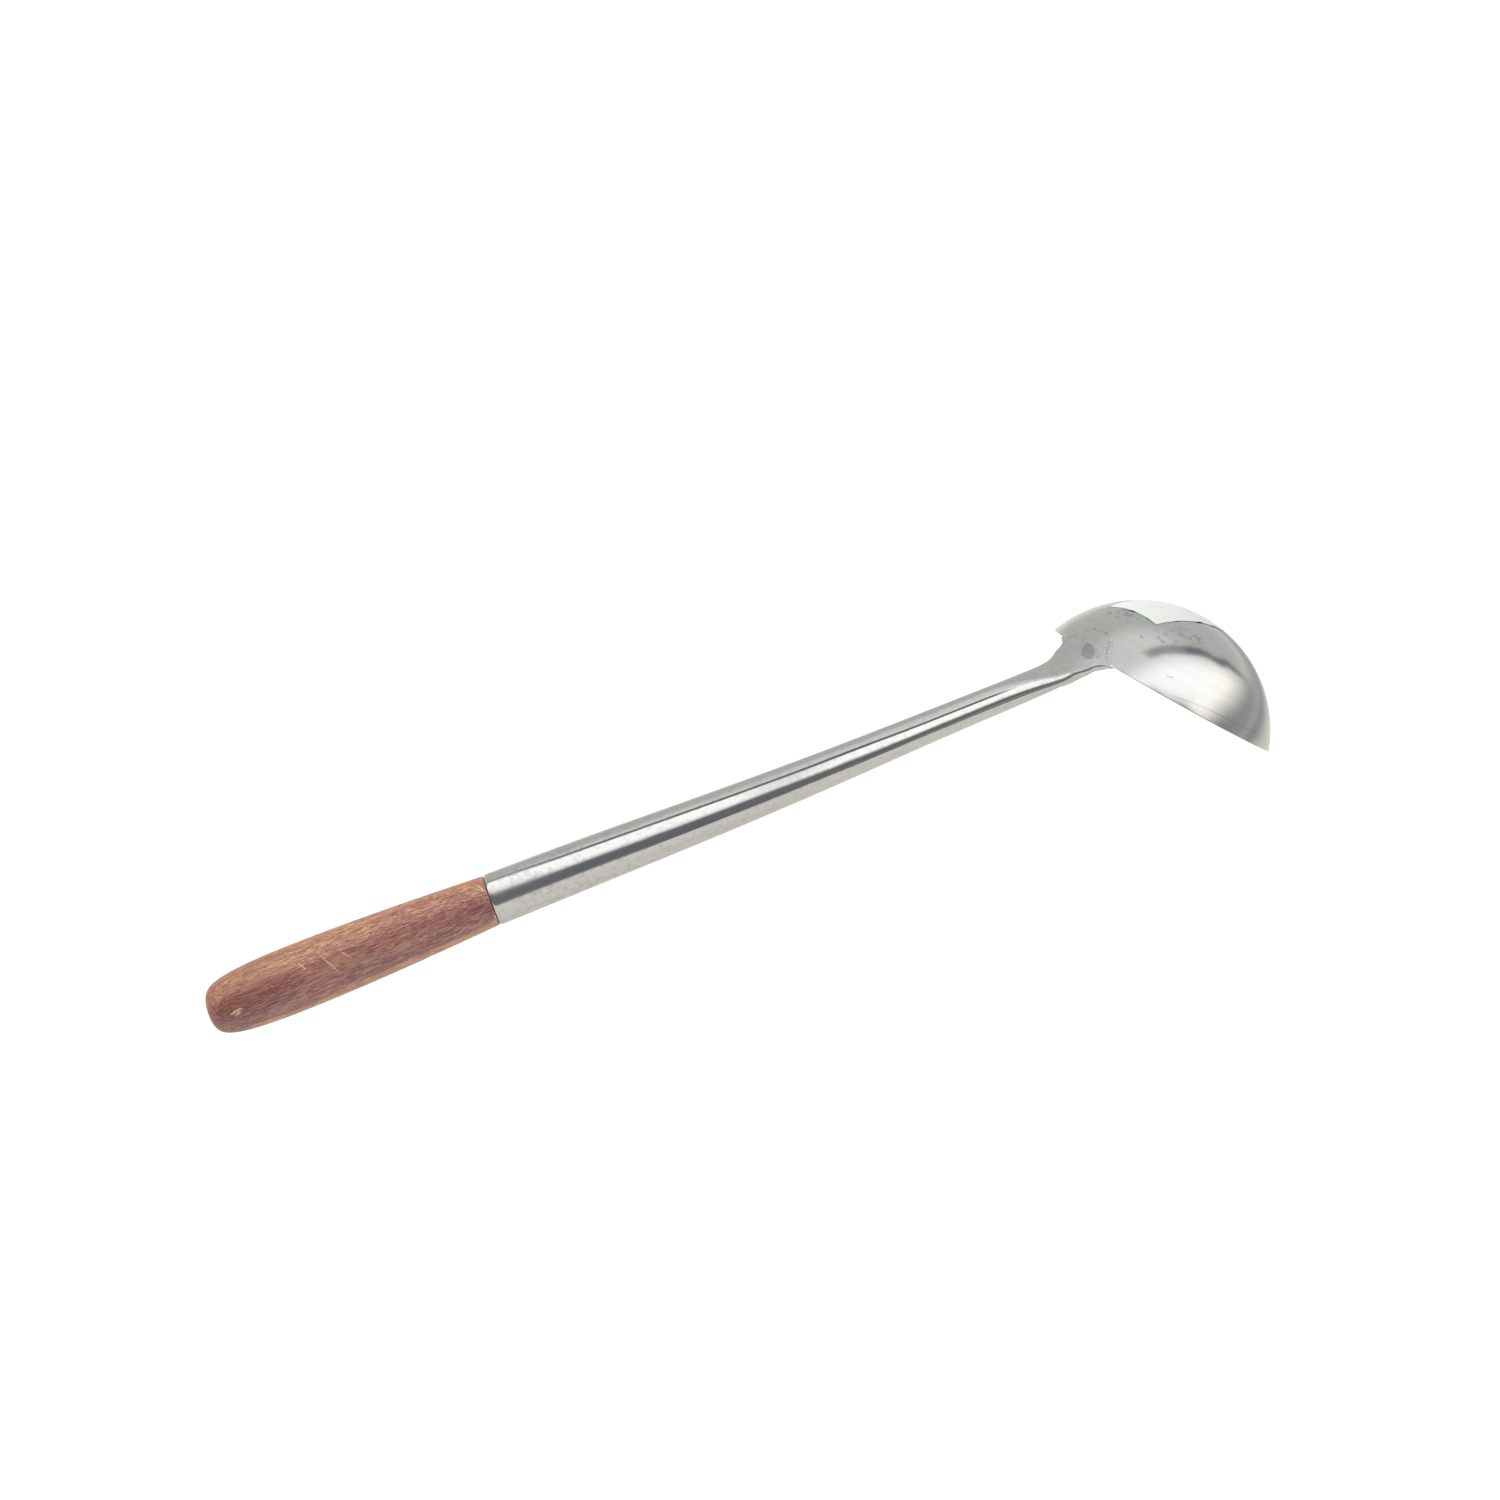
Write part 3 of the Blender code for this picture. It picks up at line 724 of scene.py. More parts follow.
    def noise(self, vector, scale, detail=3.0, rough=0.5, bend=0.0):
        """A cloudy value between 0 and 1."""
        return self.node("ShaderNodeTexNoise", inputs={
            "Vector": vector, "Scale": scale, "Detail": detail, "Roughness": rough,
            "Distortion": bend}).outputs[0]

    def grain(self, vector, scale, detail, rough=0.5, bend=0.0, shift=(0.0, 0.0, 0.0)):
        """A noise with a scale of its own along each axis."""
        return self.noise(self.stretched(vector, scale, shift), 1.0, detail, rough, bend)

    def spots(self, vector, scale):
        """Distance from the nearest of many scattered points."""
        return self.node("ShaderNodeTexVoronoi", {"feature": "F1"},
                         {"Vector": vector, "Scale": scale}).outputs[0]

    def relief(self, *layers):
        """Bumps laid over each other, each of them a height and its distance in metres."""
        under = None
        for height, distance in layers:
            made = self.node("ShaderNodeBump", inputs={"Height": height, "Distance": distance})
            if under is not None:
                self.feed(made.inputs["Normal"], under)
            under = made.outputs[0]
        return under


def new_finish(name, settings):
    """A material with its settings, its Finish and its shader."""
    material = bpy.data.materials.new(name)
    material.use_nodes = True
    shader = material.node_tree.nodes["Principled BSDF"]
    for socket, value in settings.items():
        shader.inputs[socket].default_value = value
    return material, Finish(material.node_tree), shader


def dome_stains(f, x, y, mottle):
    """Where a noise passes a level that is lower beside the label, under its long edge and,
    by half, all round it."""
    beside = f.step(f.near(x, y, (0.0445, -0.0060), (0.0050, 0.0130)), 1.15, 0.55)
    below = f.step(f.near(x, y, (0.0345, 0.0225), (0.0175, 0.0065), radians(147.0)), 1.15, 0.55)
    around = f.step(f.near(x, y, (0.0300, 0.0040), (0.0320, 0.0320)), 1.25, 0.45)
    zone = f.most(f.most(beside, below), f.times(around, 0.45))
    return f.step(f.minus(mottle, f.scaled(zone, -0.15, 0.685)), 0.0, 0.035)


def dome_scratch(f, x, y, point):
    """A short line over the dome, a little bent: its cross and along are x and y turned."""
    cross = f.add(f.times(x, 0.62), f.times(y, 0.78), f.times(f.noise(point, 130.0, 1.0), 0.0010))
    along = f.add(f.times(x, -0.78), f.times(y, 0.62))
    return f.times(f.step(f.math("ABSOLUTE", f.minus(cross, 0.0556)), 0.00022, 0.00006),
                   f.band(along, -0.0105, -0.0075, 0.0006))


def crease_painted_shade(f, x, y, radius, cloud):
    """A painted shade line along the crease, at the height that crease_rise() gives. It thins
    out in a cloudy way towards the far side."""
    polar = f.math("ARCSINE", f.times(radius, 1 / SPHERE_R))
    rise = f.times(f.minus(RIM_POLAR, polar), SPHERE_R)
    turn = f.math("ABSOLUTE", f.math("ARCTAN2", y, x))
    fall = f.math("EXPONENT", f.scaled(turn, -1 / CREASE_SPREAD, CREASE_FROM / CREASE_SPREAD))
    away = f.math("ABSOLUTE", f.minus(rise, f.scaled(fall, -CREASE_RISE, CREASE_RISE)))
    return f.times(f.step(away, 0.00026, 0.00006), f.step(turn, radians(43), radians(50)),
                   f.step(f.add(turn, f.times(cloud, 0.5)), radians(130), radians(100)))


def bowl_steel():
    """Satin steel with fine rings round the dome, dull stains by the label, light wear and a
    painted shade line along the crease.
    """
    material, f, shader = new_finish("bowl_steel", {"Metallic": 1.0})
    point = f.object_point(RIM_CENTRE, -TILT)
    x, y, z = f.parts(point)
    radius = f.length(x, y)
    outside = f.step(f.length(radius, f.minus(z, SPHERE_Z)), SPHERE_R - 0.75 * BOWL_WALL,
                     SPHERE_R - BOWL_WALL / 3)
    ring_at = f.vector(radius, f.times(f.noise(point, 60.0, 2.0), 0.0006), f.times(z, 0.6))
    fine_rings = f.noise(ring_at, 2600.0, 4.0, 0.62)
    wide_rings = f.noise(ring_at, 300.0, 2.0, 0.5)
    cloud = f.noise(point, 38.0, 5.0, 0.6)
    mottle = f.noise(point, 330.0, 5.0, 0.60, 0.5)

    stains = f.times(dome_stains(f, x, y, mottle), outside, f.scaled(cloud, 1.2, 0.3))
    smears = f.step(f.noise(point, 60.0, 6.0, 0.7, 1.2), 0.52, 0.68)
    pits = f.times(f.step(f.spots(point, 300.0), 0.050, 0.03), f.step(cloud, 0.50, 0.58))
    yellow = f.step(f.near(x, y, (0.0332, 0.0475), (0.0016, 0.0022), 0.9), 1.2, 0.4)
    clean = f.blend(f.step(wide_rings, 0.35, 0.65), (0.600, 0.600, 0.589), (0.622, 0.620, 0.607))
    f.feed(shader.inputs["Base Color"], f.layered(
        clean, (smears, 0.25, (0.52, 0.525, 0.525)), (stains, 0.62, (0.33, 0.335, 0.335)),
        (pits, 0.55, (0.28, 0.28, 0.28)), (yellow, 0.30, (0.60, 0.50, 0.34)),
        # painted shade: a dark line along the crease, on the outside only
        (f.times(crease_painted_shade(f, x, y, radius, cloud), outside), 0.55, (0.26, 0.25, 0.24)),
        (dome_scratch(f, x, y, point), 0.6, (0.30, 0.30, 0.30))))
    f.feed(shader.inputs["Roughness"], f.add(
        f.scaled(cloud, 0.10, 0.085), f.times(fine_rings, 0.04), f.times(stains, 0.10),
        f.times(smears, 0.03)))
    f.feed(shader.inputs["Normal"], f.relief(
        (fine_rings, 0.000005), (wide_rings, 0.000012), (f.noise(point, 26.0, 2.0), 0.00022),
        (mottle, 0.000004)))
    return material


# Dots on the pad: their places across and along, and their half sizes
PAD_DOTS = ((0.0018, -0.0034, 0.00035, 0.00035), (-0.0025, 0.0072, 0.00030, 0.00030),
            (-0.0047, 0.0100, 0.00026, 0.00030), (-0.0076, 0.0187, 0.00050, 0.00040))


def weld_patch(f, across, along, point):
    """The weld's dull patch: an ellipse whose edge a noise makes ragged."""
    ragged = f.scaled(f.noise(point, 300.0, 2.0, 0.5), 1.1, -0.55)
    oval = f.near(across, along, (0.0036, 0.0001), (0.0056, 0.0036), radians(34.0))
    return f.step(f.add(oval, ragged), 1.0, 0.88)


def pad_marks(f, across, along, point):
    """Dark marks on the pad: part of a small ring, broken strokes just inside its edge, and
    a few dots."""
    ring = f.near(across, along, (0.0088, -0.0022), (0.0019, 0.0022))
    arc = f.times(f.step(f.math("ABSOLUTE", f.minus(ring, 1.0)), 0.16, 0.04),
                  f.step(along, -0.0018, -0.0010))
    from_weld = f.near(across, along, (0.0, 0.0012), (0.001, 0.001))
    strokes = f.times(f.band(from_weld, 13.2, 15.0, 0.35), f.step(along, 0.0, -0.003),
                      f.step(f.noise(point, 760.0, 3.0, 0.6), 0.50, 0.60))
    dots = f.add(*(f.step(f.near(across, along, (v, q), (half_v, half_q)), 1.2, 0.8)
                   for v, q, half_v, half_q in PAD_DOTS))
    return f.add(f.times(arc, 0.55), f.times(strokes, 0.45), f.times(dots, 0.75))


def shank_steel():
    """Rolled steel with fine streaks along it, a duller pad and the marks of the weld."""
    material, f, shader = new_finish("shank_steel", {"Metallic": 1.0})
    chart = f.chart_point()
    across, along, _ = f.parts(chart)
    point = f.object_point(RIM_CENTRE, -TILT)
    streaks = f.grain(chart, (2400.0, 34.0, 1.0), 4.0, 0.6)
    broad = f.grain(chart, (420.0, 9.0, 1.0), 3.0, 0.5, shift=(3.0, 1.0, 0.0))
    cloud = f.noise(point, 55.0, 4.0, 0.6)
    mottle = f.noise(point, 420.0, 4.0, 0.6, 0.3)
    flat_zone = f.step(along, 0.045, 0.018)
    far_zone = f.step(along, 0.16, 0.27)
    end_zone = f.step(along, 0.235, 0.272)

    patch = weld_patch(f, across, along, point)
    specks = f.times(f.step(f.spots(f.stretched(chart, (900.0, 300.0, 1.0)), 1.0), 0.10, 0.05),
                     f.step(cloud, 0.50, 0.62))
    dark = f.add(pad_marks(f, across, along, point), f.times(specks, 0.3))
    dull = f.times(f.step(mottle, 0.47, 0.64), f.scaled(far_zone, 0.25, 0.35))
    clean = f.blend(f.step(broad, 0.3, 0.7), (0.585, 0.585, 0.575), (0.630, 0.626, 0.610))
    f.feed(shader.inputs["Base Color"], f.layered(
        clean, (dull, 1.0, (0.45, 0.452, 0.445)), (patch, 0.60, (0.30, 0.30, 0.30)),
        (f.math("MINIMUM", dark, 1.0), 1.0, (0.14, 0.14, 0.14))))
    f.feed(shader.inputs["Roughness"], f.add(
        f.scaled(streaks, 0.04, 0.02), f.times(cloud, 0.04), f.times(flat_zone, 0.15),
        f.times(far_zone, 0.035), f.times(end_zone, 0.07), f.times(dull, 0.12),
        f.times(patch, 0.15)))
    f.feed(shader.inputs["Normal"], f.relief(
        (streaks, 0.000003), (broad, 0.00002), (cloud, 0.00005),
        (f.minus(mottle, patch), 0.000012)))
    return material


def nail_steel():
    """Grey wire with hammer marks."""
    material, f, shader = new_finish("nail_steel", {"Metallic": 1.0})
    point = f.node("ShaderNodeTexCoord").outputs["Object"]
    marks = f.noise(point, 1400.0, 4.0, 0.6)
    colour = f.blend(f.step(marks, 0.40, 0.65), (0.30, 0.30, 0.295), (0.52, 0.52, 0.51))
    f.feed(shader.inputs["Base Color"], colour)
    f.feed(shader.inputs["Roughness"], f.scaled(marks, 0.30, 0.20))
    f.feed(shader.inputs["Normal"], f.relief((marks, 0.00006)))
    return material


# Where each scratch in the wood starts and ends, along in metres and round in degrees, and
# how wide it is
SCRATCHES = ((0.0663, 26, 0.0627, 59, 0.00030), (0.0655, 22, 0.0640, 34, 0.00022),
             (0.0588, 30, 0.0544, 74, 0.00030), (0.0575, 27, 0.0560, 40, 0.00020),
             (0.0522, 38, 0.0495, 57, 0.00028), (0.0905, 73, 0.0858, 69, 0.00070),
             (0.0894, 78, 0.0866, 74, 0.00045), (0.0027, 6, 0.0012, 33, 0.00045),
             (0.0042, 10, 0.0022, 28, 0.00030))


def wood_scratches(f, point, along, turn):
    """Narrow ellipses, one about each scratch's middle, a little bent by a noise."""
    bend = f.scaled(f.noise(point, 420.0, 3.0, 0.6), 0.22, -0.11)
    around = f.times(f.add(turn, bend), GRIP_R_MAX)
    marks = 0.0
    for from_along, from_turn, to_along, to_turn, width in SCRATCHES:
        from_round, to_round = radians(from_turn) * GRIP_R_MAX, radians(to_turn) * GRIP_R_MAX
        over, up = to_along - from_along, to_round - from_round
        middle = (from_along + to_along) / 2, (from_round + to_round) / 2
        half = sqrt(over ** 2 + up ** 2) / 2, 0.75 * width
        gone = f.near(along, around, middle, half, atan2(up, over))
        marks = f.most(marks, f.step(gone, 1.3, 0.5))
    return marks


def sapwood(f, point, along, turn, fibres, threads, pores):
    """Where the pale sapwood shows under the grip, with a frayed edge, and its colour."""
    fray = f.scaled(f.grain(point, (40.0, 200.0, 200.0), 3.0, 0.6), 0.22, -0.11)
    edge = f.add(turn, fray, f.scaled(fibres, 0.08, -0.04),
                 f.times(f.step(along, 0.020, 0.090), radians(-7.0)))
    shown = f.times(f.step(edge, radians(106.0), radians(109.0)), f.step(along, 0.094, 0.080))
    pale = f.blend(f.step(fibres, 0.42, 0.60), (0.540, 0.235, 0.140), (0.880, 0.510, 0.330))
    return shown, f.layered(pale, (f.step(threads, 0.52, 0.42), 0.65, (0.330, 0.130, 0.080)),
                            (pores, 0.6, (0.300, 0.120, 0.075)))


def end_grain(f, across, above, swirl):
    """Rings on the butt's face, round a middle a little below the grip's own."""
    out = f.length(across, f.add(above, 0.006))
    rings = f.noise(f.vector(out, 0.0, f.times(swirl, 0.002)), 1500.0, 3.0, 0.6)
    return f.blend(f.step(rings, 0.35, 0.65), (0.240, 0.090, 0.066), (0.380, 0.165, 0.112))


def grip_wood():
    """Reddish hardwood: long fibres, dark pores, pale flecks, sapwood, scratches, end grain, and
    painted light: lit on top with painted glints, shaded below, painted sheen underneath.
    """
    material, f, shader = new_finish("wood", {"Metallic": 0.0, "Specular IOR Level": 0.80})
    origin = set_down(axis_point(TUBE_END)[None])[0]
    point = f.object_point(origin, HANDLE_ANGLE - TILT)
    along, across, above = f.parts(point)
    turn = f.math("ARCTAN2", across, above)
    slanted = f.vector(along, f.add(across, f.times(along, 0.035)),
                       f.add(above, f.times(along, 0.05)))
    swirl = f.grain(point, (9.0, 60.0, 60.0), 2.0)
    bands = f.grain(slanted, (9.0, 260.0, 260.0), 3.0, 0.55, 0.6)
    wide = f.grain(slanted, (14.0, 75.0, 75.0), 3.0)
    fibres = f.grain(slanted, (70.0, 1900.0, 1900.0), 5.0, 0.68)
    threads = f.grain(slanted, (240.0, 2500.0, 2500.0), 3.0, 0.6, shift=(9.0, 4.0, 2.0))
    pores = f.step(f.grain(slanted, (380.0, 3300.0, 3300.0), 2.0, shift=(5.0, 2.0, 1.0)),
                   0.58, 0.64)
    flecks = f.step(f.grain(slanted, (600.0, 2700.0, 2700.0), 2.0, shift=(1.0, 7.0, 3.0)),
                    0.60, 0.67)
    scuffs = f.grain(point, (160.0, 700.0, 700.0), 4.0, 0.65)

    colour = f.layered(
        f.blend(f.step(bands, 0.36, 0.64), (0.300, 0.110, 0.082), (0.430, 0.185, 0.118)),
        (f.step(wide, 0.46, 0.57), 0.80, (0.250, 0.070, 0.064)),
        (f.step(fibres, 0.45, 0.58), 0.72, (0.640, 0.310, 0.188)),
        (f.step(threads, 0.54, 0.43), 0.66, (0.150, 0.050, 0.042)),
        (pores, 0.58, (0.085, 0.034, 0.029)))
    shade = f.add(turn, f.scaled(swirl, 1.2, -0.6))
    # painted light and shade: the top and far side get a lighter, lit copy of the wood's colour,
    # the side below a darker, redder copy
    painted_lit_side = f.step(shade, radians(60.0), radians(10.0))
    # painted bounce light and sheen: the underside is a paler, bluer copy of the wood's colour
    painted_bounce_under = f.step(shade, radians(68.0), radians(96.0))
    far = f.step(along, 0.060, 0.092)
    # pale flecks all over, twice as strong on the top as painted glints
    colour = f.layered(colour, (flecks, f.scaled(painted_lit_side, 0.30, 0.30), (0.800, 0.520, 0.350)))
    colour = f.blend(painted_lit_side, f.tinted(colour, (0.95, 0.83, 0.98)),
                     f.tinted(colour, (1.16, 1.17, 0.98)))
    colour = f.blend(painted_bounce_under, colour, f.tinted(colour, (1.18, 1.42, 1.55)))
    colour = f.blend(far, colour, f.tinted(colour, (0.78, 0.71, 0.72)))

    sap_shown, sap_colour = sapwood(f, point, along, turn, fibres, threads, pores)
    worn = f.step(f.add(swirl, f.times(scuffs, 0.5)), 0.80, 0.95)
    marks = f.times(wood_scratches(f, point, along, turn), f.step(scuffs, 0.36, 0.50))
    chipped = f.times(f.step(along, 0.0012, 0.0003), f.step(scuffs, 0.46, 0.54),
                      f.band(turn, radians(84.0), radians(128.0), 0.10))
    butt = f.step(along, GRIP_LENGTH - 0.0030, GRIP_LENGTH - 0.0008)
    f.feed(shader.inputs["Base Color"], f.layered(
        colour, (sap_shown, 0.92, sap_colour), (worn, 0.35, (0.670, 0.400, 0.280)),
        (marks, 0.75, (0.860, 0.560, 0.350)), (chipped, 0.9, (0.800, 0.580, 0.380)),
        (butt, 1.0, end_grain(f, across, above, swirl))))
    f.feed(shader.inputs["Roughness"], f.add(f.scaled(fibres, 0.30, 0.18), f.times(pores, 0.15)))
    f.feed(shader.inputs["Normal"], f.relief(
        (fibres, 0.00010), (f.minus(flecks, pores), 0.00005), (f.minus(1.0, marks), 0.00008)))
    return material


def label_paper():
    """White paper with a thin green line along two edges, faint ruled lines and a soft nap."""
    material, f, shader = new_finish("paper", {"Metallic": 0.0, "Roughness": 0.75,
                                               "Specular IOR Level": 0.1})
    chart = f.chart_point()
    s, t, _ = f.parts(chart)
    cloud = f.step(f.noise(chart, 90.0, 3.0, 0.5), 0.3, 0.7)
    short_line = f.times(f.band(s, 0.0, 0.00050, 0.00010), f.step(t, 0.0330, 0.0200))
    long_line = f.times(f.band(t, 0.0, 0.00042, 0.00010), f.step(s, 0.0300, 0.0060))
    rule_at = f.math("FRACT", f.times(f.minus(t, 0.0035), 1.0 / 0.0042))
    rules = f.times(f.step(rule_at, 0.085, 0.045), f.band(t, 0.0034, 0.0300, 0.0002),
                    f.band(s, 0.0040, 0.0380, 0.0002))
    f.feed(shader.inputs["Base Color"], f.layered(
        f.blend(cloud, (0.715, 0.718, 0.705), (0.750, 0.752, 0.739)),
        (short_line, 0.85, (0.10, 0.36, 0.24)), (long_line, 0.65, (0.12, 0.36, 0.26)),
        (rules, 0.22, (0.42, 0.43, 0.42))))
    f.feed(shader.inputs["Normal"], f.relief((f.noise(chart, 2200.0, 4.0, 0.6), 0.00002)))
    return material


def table_white():
    """White table: it glows a little more to the camera, so that it stays clear of shadows."""
    material, f, shader = new_finish("table", {"Roughness": 0.8, "Specular IOR Level": 0.0})
    seen = f.node("ShaderNodeLightPath").outputs["Is Camera Ray"]
    f.feed(shader.inputs["Base Color"], (0.24, 0.236, 0.228))
    f.feed(shader.inputs["Emission Color"], f.blend(seen, (1.0, 0.97, 0.90), (1.0, 1.0, 1.0)))
    f.feed(shader.inputs["Emission Strength"], f.scaled(seen, 0.40, 0.62))
    return material


# Table and light

DARK_ROOM = (0.195, 0.205, 0.225)
TABLE_OUTLINE = ((-4.0, -4.0), (4.0, -4.0), (4.0, 4.0), (-4.0, 4.0))
ROOM_OUTLINE = ((-0.06, 1.5), (0.0, 4.0), (-4.0, 4.0), (-4.0, -3.0), (-0.5, -0.45),
                (-0.25, -0.2), (-0.22, 0.05), (-0.170, 0.231), (-0.133, 0.275), (-0.103, 0.434))
ROOM_HEIGHT = 0.001
GAP_OUTLINE = ((-1.2, -0.4), (0.8, -0.4), (0.8, 0.5), (-1.2, 0.5))
GAP_HEIGHT = 0.12
GAP_COLOUR = (0.15, 0.175, 0.215)
NEAR_LIGHT = (1.60, 1.60, 1.58)
# From one x to another the gap's middle moves by this much in y
GAP_BENDS = ((0.0, 0.05, -0.0035), (0.115, 0.155, -0.015), (-0.17, -0.21, 0.004),
             (-0.23, -0.28, 0.005), (-0.26, -0.36, -0.020))


def flat_sheet(name, corners, z, material):
    """A level face through the corners at a height z, which isn't part of the ladle."""
    mesh = bpy.data.meshes.new(name)
    mesh.from_pydata([(x, y, z) for x, y in corners], [], [tuple(range(len(corners)))])
    mesh.materials.append(material)
    sheet = bpy.data.objects.new(name, mesh)
    bpy.context.scene.collection.objects.link(sheet)
    return sheet


def reflected_card(name, corners, z, light):
    """A card that only shows in polished steel. light gives its glow and how solid it is."""
    material = bpy.data.materials.new(name)
    material.use_nodes = True
    tree = material.node_tree
    tree.nodes.clear()
    f = Finish(tree)
    x, y, _ = f.parts(f.node("ShaderNodeTexCoord").outputs["Object"])
    colour, solid = light(f, x, y)
    glow = f.node("ShaderNodeEmission", inputs={"Color": colour, "Strength": 1.0})
    clear = f.node("ShaderNodeBsdfTransparent")
    mixed = f.node("ShaderNodeMixShader")
    f.feed(mixed.inputs[0], solid)
    tree.links.new(clear.outputs[0], mixed.inputs[1])
    tree.links.new(glow.outputs[0], mixed.inputs[2])
    out = f.node("ShaderNodeOutputMaterial")
    tree.links.new(mixed.outputs[0], out.inputs["Surface"])
    card = flat_sheet(name, corners, z, material)
    card.visible_camera = card.visible_diffuse = card.visible_shadow = False
    card.visible_transmission = card.visible_volume_scatter = False


def beyond_table(f, x, y):
    """The dim room past the table's edge. Towards -X it is lighter, and the table fades into
    it with the distance from the bowl."""
    away = f.add(f.scaled(x, -0.94, -0.2256), f.times(y, 0.34))
    solid = f.most(f.step(away, 0.0, 0.18), f.step(y, 0.13, 0.20))
    return f.blend(f.step(x, -0.15, -0.60), DARK_ROOM, (0.50, 0.505, 0.515)), solid


def gap_middle(f, x):
    """A cubic curve of 10 x, moved in y by a smooth step for each of its bends, and once
    more over the neck alone."""
    t = f.most(f.math("MINIMUM", f.times(x, 10.0), 1.6), -3.6)
    t2 = f.times(t, t)
    cubic = f.add(f.scaled(t, -0.014156, 0.006129), f.times(t2, -0.003701),
                  f.times(t2, t, -0.001072))
    over_neck = f.times(f.step(x, -0.020, -0.068), f.step(x, -0.143, -0.135), 0.0105)
    return f.add(cubic, over_neck, *(f.times(f.step(x, start, end), move)
                                     for start, end, move in GAP_BENDS))


def gap_overhead(f, x, y):
    """The dark gap between the lights: a strip on either side of its middle line. It is
    narrower over the bowl, partly faded there on the handle's side, and gone where the bowl
    meets the handle. Past the bowl the near light starts right beside it."""
    beside = f.minus(y, gap_middle(f, x))
    narrow = f.add(f.scaled(f.step(x, -0.135, -0.145), 0.55, 1.20),
                   f.times(f.band(x, -0.180, -0.145, 0.010), 0.20),
                   f.times(f.step(x, -0.255, -0.290), -0.50))
    faded = f.add(f.times(f.band(x, -0.205, -0.145, 0.008), 0.30),
                  f.times(f.band(x, -0.160, -0.145, 0.006), 0.25),
                  f.times(f.step(x, -0.159, -0.143), f.step(x, -0.104, -0.124)))
    faded = f.math("MINIMUM", faded, 1.0)
    strip = f.times(f.step(f.times(f.math("ABSOLUTE", beside), narrow), 0.017, 0.006),
                    f.minus(1.0, faded))
    near_light = f.times(f.step(x, -0.03, 0.04), f.step(beside, 0.004, 0.014),
                         f.step(beside, 0.150, 0.050))
    return f.blend(near_light, GAP_COLOUR, NEAR_LIGHT), f.most(strip, near_light)


def studio():
    """Soft light from all round: a large softbox on the near side, cut off below by two
    slanting planes, a grey wall on the far side and a dim room under the softbox. A pale
    strip runs low on the near side. The camera itself sees only white."""
    world = bpy.data.worlds.new("studio")
    bpy.context.scene.world = world
    world.use_nodes = True
    tree = world.node_tree
    tree.nodes.clear()
    f = Finish(tree)
    x, y, z = f.parts(f.node("ShaderNodeTexCoord").outputs["Generated"])
    near_side = f.step(f.add(y, f.times(f.step(z, 0.35, 0.0), 0.26)), -0.05, 0.36)
    bent = f.add(f.times(f.most(f.scaled(x, -1.0, -0.215), 0.0), 1.9),
                 f.times(f.step(x, -0.24, -0.15), -0.11), f.times(f.step(x, 0.05, 0.15), -0.15))
    over_plane = f.step(f.add(z, f.times(y, -0.925), f.times(x, -0.825), bent), -0.14, 0.22)
    over_foot = f.step(f.add(z, f.times(y, -0.36), f.times(x, 0.145)), -0.17, 0.24)
    dark = f.blend(f.step(x, -0.45, -0.85), DARK_ROOM, (0.39, 0.40, 0.42))
    wall = f.blend(f.step(z, 0.72, 0.95), (0.645, 0.645, 0.632), (0.93, 0.93, 0.92))
    wall = f.blend(f.step(z, 0.22, -0.05), wall, (0.77, 0.77, 0.755))
    box = f.blend(f.step(z, 0.80, 0.40), (1.57, 1.60, 1.60), (1.64, 1.59, 1.47))
    light = f.blend(near_side, wall, f.blend(f.times(over_plane, over_foot), dark, box))
    horizon = f.times(f.step(z, 0.11, 0.03), f.step(x, -0.16, 0.0), near_side)
    light = f.blend(horizon, light, (1.0, 0.99, 0.95))
    ray = f.node("ShaderNodeLightPath").outputs
    light = f.blend(ray["Is Camera Ray"], light, (1.1, 1.1, 1.1))
    back = f.node("ShaderNodeBackground", inputs={
        "Color": light, "Strength": f.scaled(ray["Is Diffuse Ray"], -0.12, 1.0)})
    out = f.node("ShaderNodeOutputWorld")
    tree.links.new(back.outputs[0], out.inputs["Surface"])


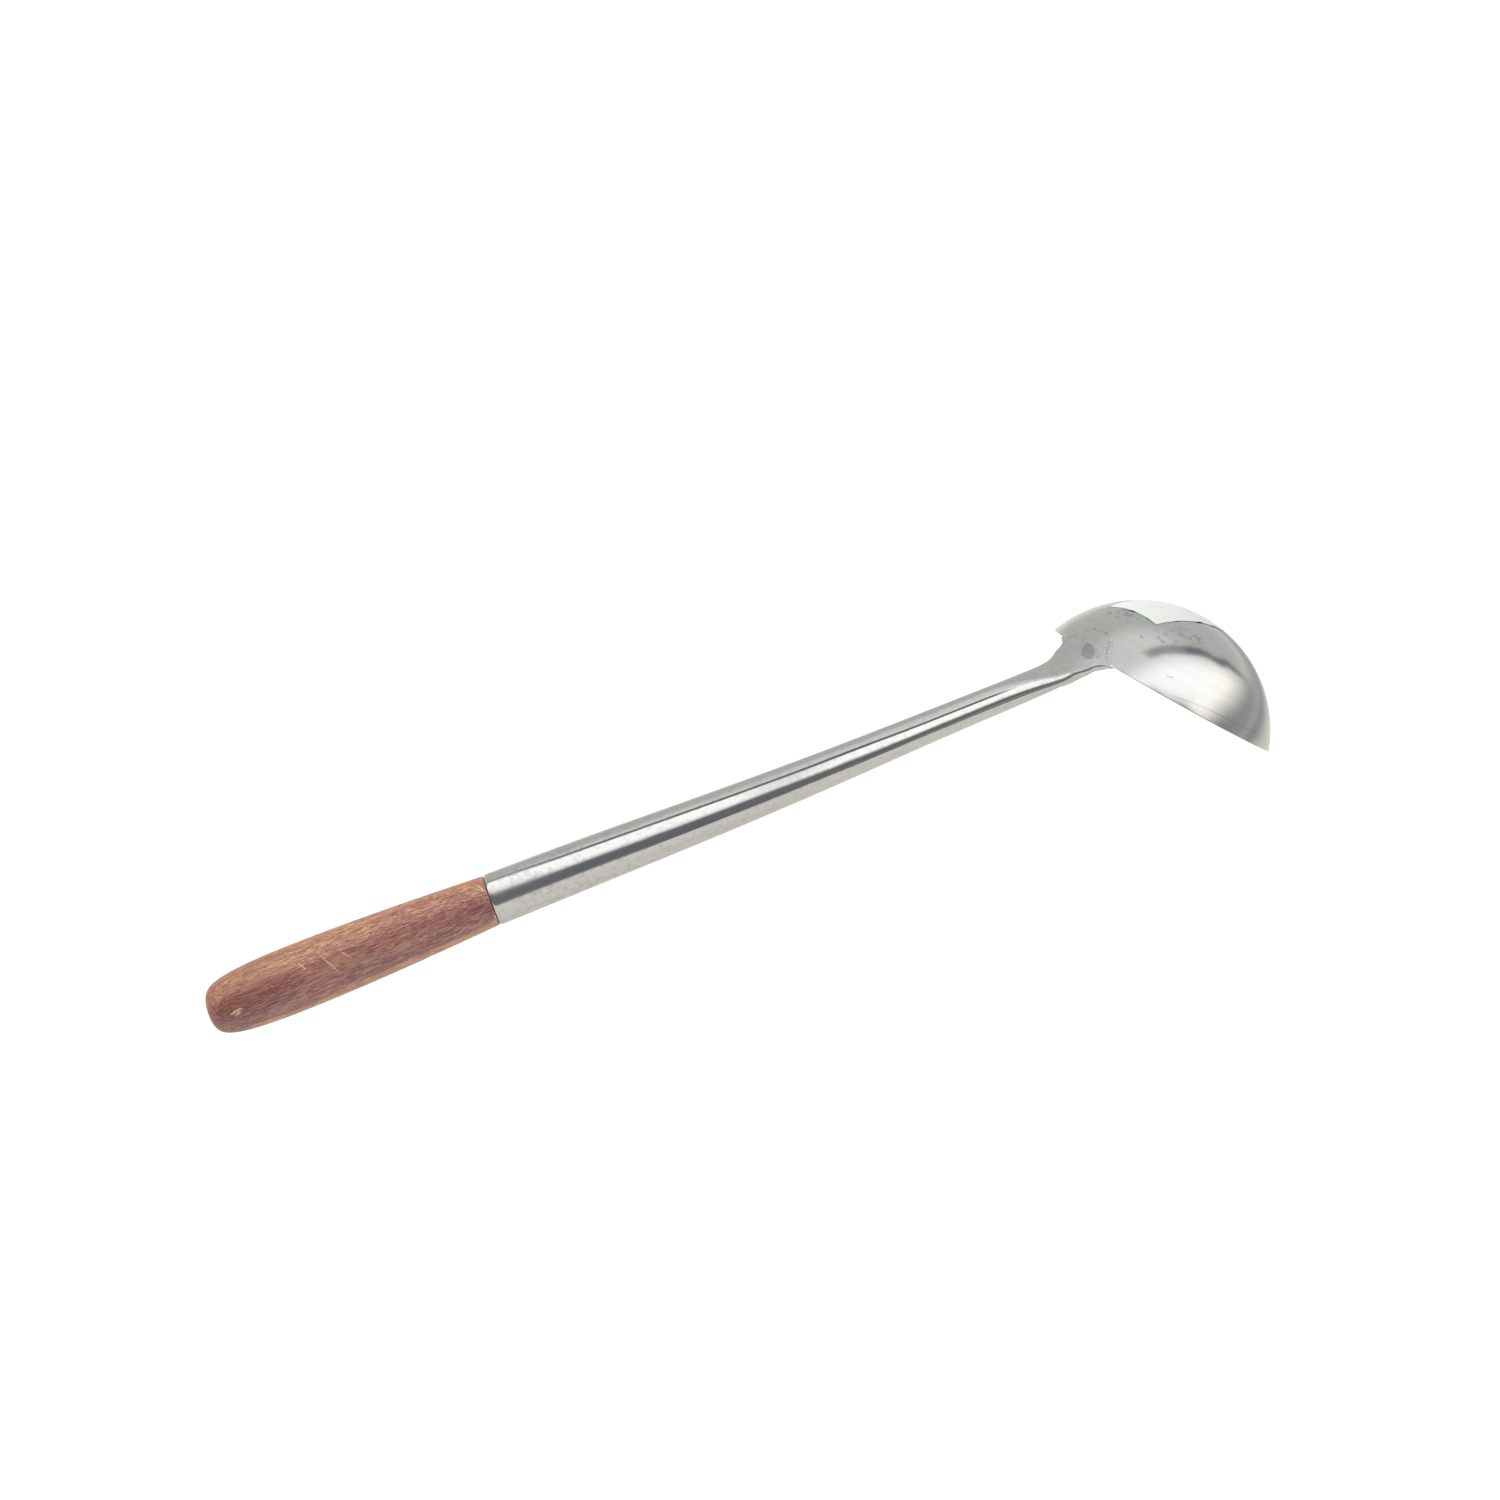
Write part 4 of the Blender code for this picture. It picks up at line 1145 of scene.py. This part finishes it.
def overhead_light():
    """A wide lamp above and a little behind, which doesn't show in the steel."""
    data = bpy.data.lights.new("overhead_light", "SUN")
    data.energy, data.angle, data.color = 2.1, radians(70.0), (1.0, 0.99, 0.97)
    lamp = bpy.data.objects.new("overhead_light", data)
    bpy.context.scene.collection.objects.link(lamp)
    lamp.rotation_euler = Vector((0.55, -0.35, 0.76)).to_track_quat("Z", "Y").to_euler()
    lamp.visible_glossy = False


LENS = 25.113                     # in millimetres, as is the sensor's width
SENSOR = 36.0
SHIFT_X = -0.0826
SHIFT_Y = -0.0627
EYE = (0.151598, 0.355419, 0.278582)
LOOK = (-0.40221948, -0.80710323, -0.43220813)
ROLL = -0.01582                   # in radians, round the line of sight


def camera():
    """The photograph's viewpoint, found by fitting the ladle's outline."""
    data = bpy.data.cameras.new("camera")
    data.lens, data.sensor_width = LENS, SENSOR
    data.shift_x, data.shift_y = SHIFT_X, SHIFT_Y
    data.clip_start, data.clip_end = 0.01, 50.0
    ahead = Vector(LOOK).normalized()
    right = ahead.cross(Vector((0.0, 0.0, 1.0))).normalized()
    up = right.cross(ahead)
    right, up = cos(ROLL) * right + sin(ROLL) * up, -sin(ROLL) * right + cos(ROLL) * up
    eye = bpy.data.objects.new("camera", data)
    bpy.context.scene.collection.objects.link(eye)
    turn = Matrix((right, up, -ahead)).transposed().to_4x4()
    eye.matrix_world = Matrix.Translation(EYE) @ turn
    bpy.context.scene.camera = eye


# Pieces: name, grid and chart, the node that it stands for, its slot and its finish

skin("bowl_shell", *bowl_surface(), "bowl", "bowl_steel", bowl_steel())
skin("shank_sheet", *shank_surface(), "shank", "shank_steel", shank_steel())
skin("grip_turning", *grip_surface(), "grip", "wood", grip_wood())
skin("nail", *nail_surface(), "grip_nail", "nail_steel", nail_steel())
skin("label_paper", *label_surface(), "paper_label", "paper", label_paper())

flat_sheet("table", TABLE_OUTLINE, 0.0, table_white())
reflected_card("room_card", ROOM_OUTLINE, ROOM_HEIGHT, beyond_table)
reflected_card("gap_card", GAP_OUTLINE, GAP_HEIGHT, gap_overhead)
studio()
overhead_light()
camera()
bpy.context.scene.view_settings.view_transform = "Standard"
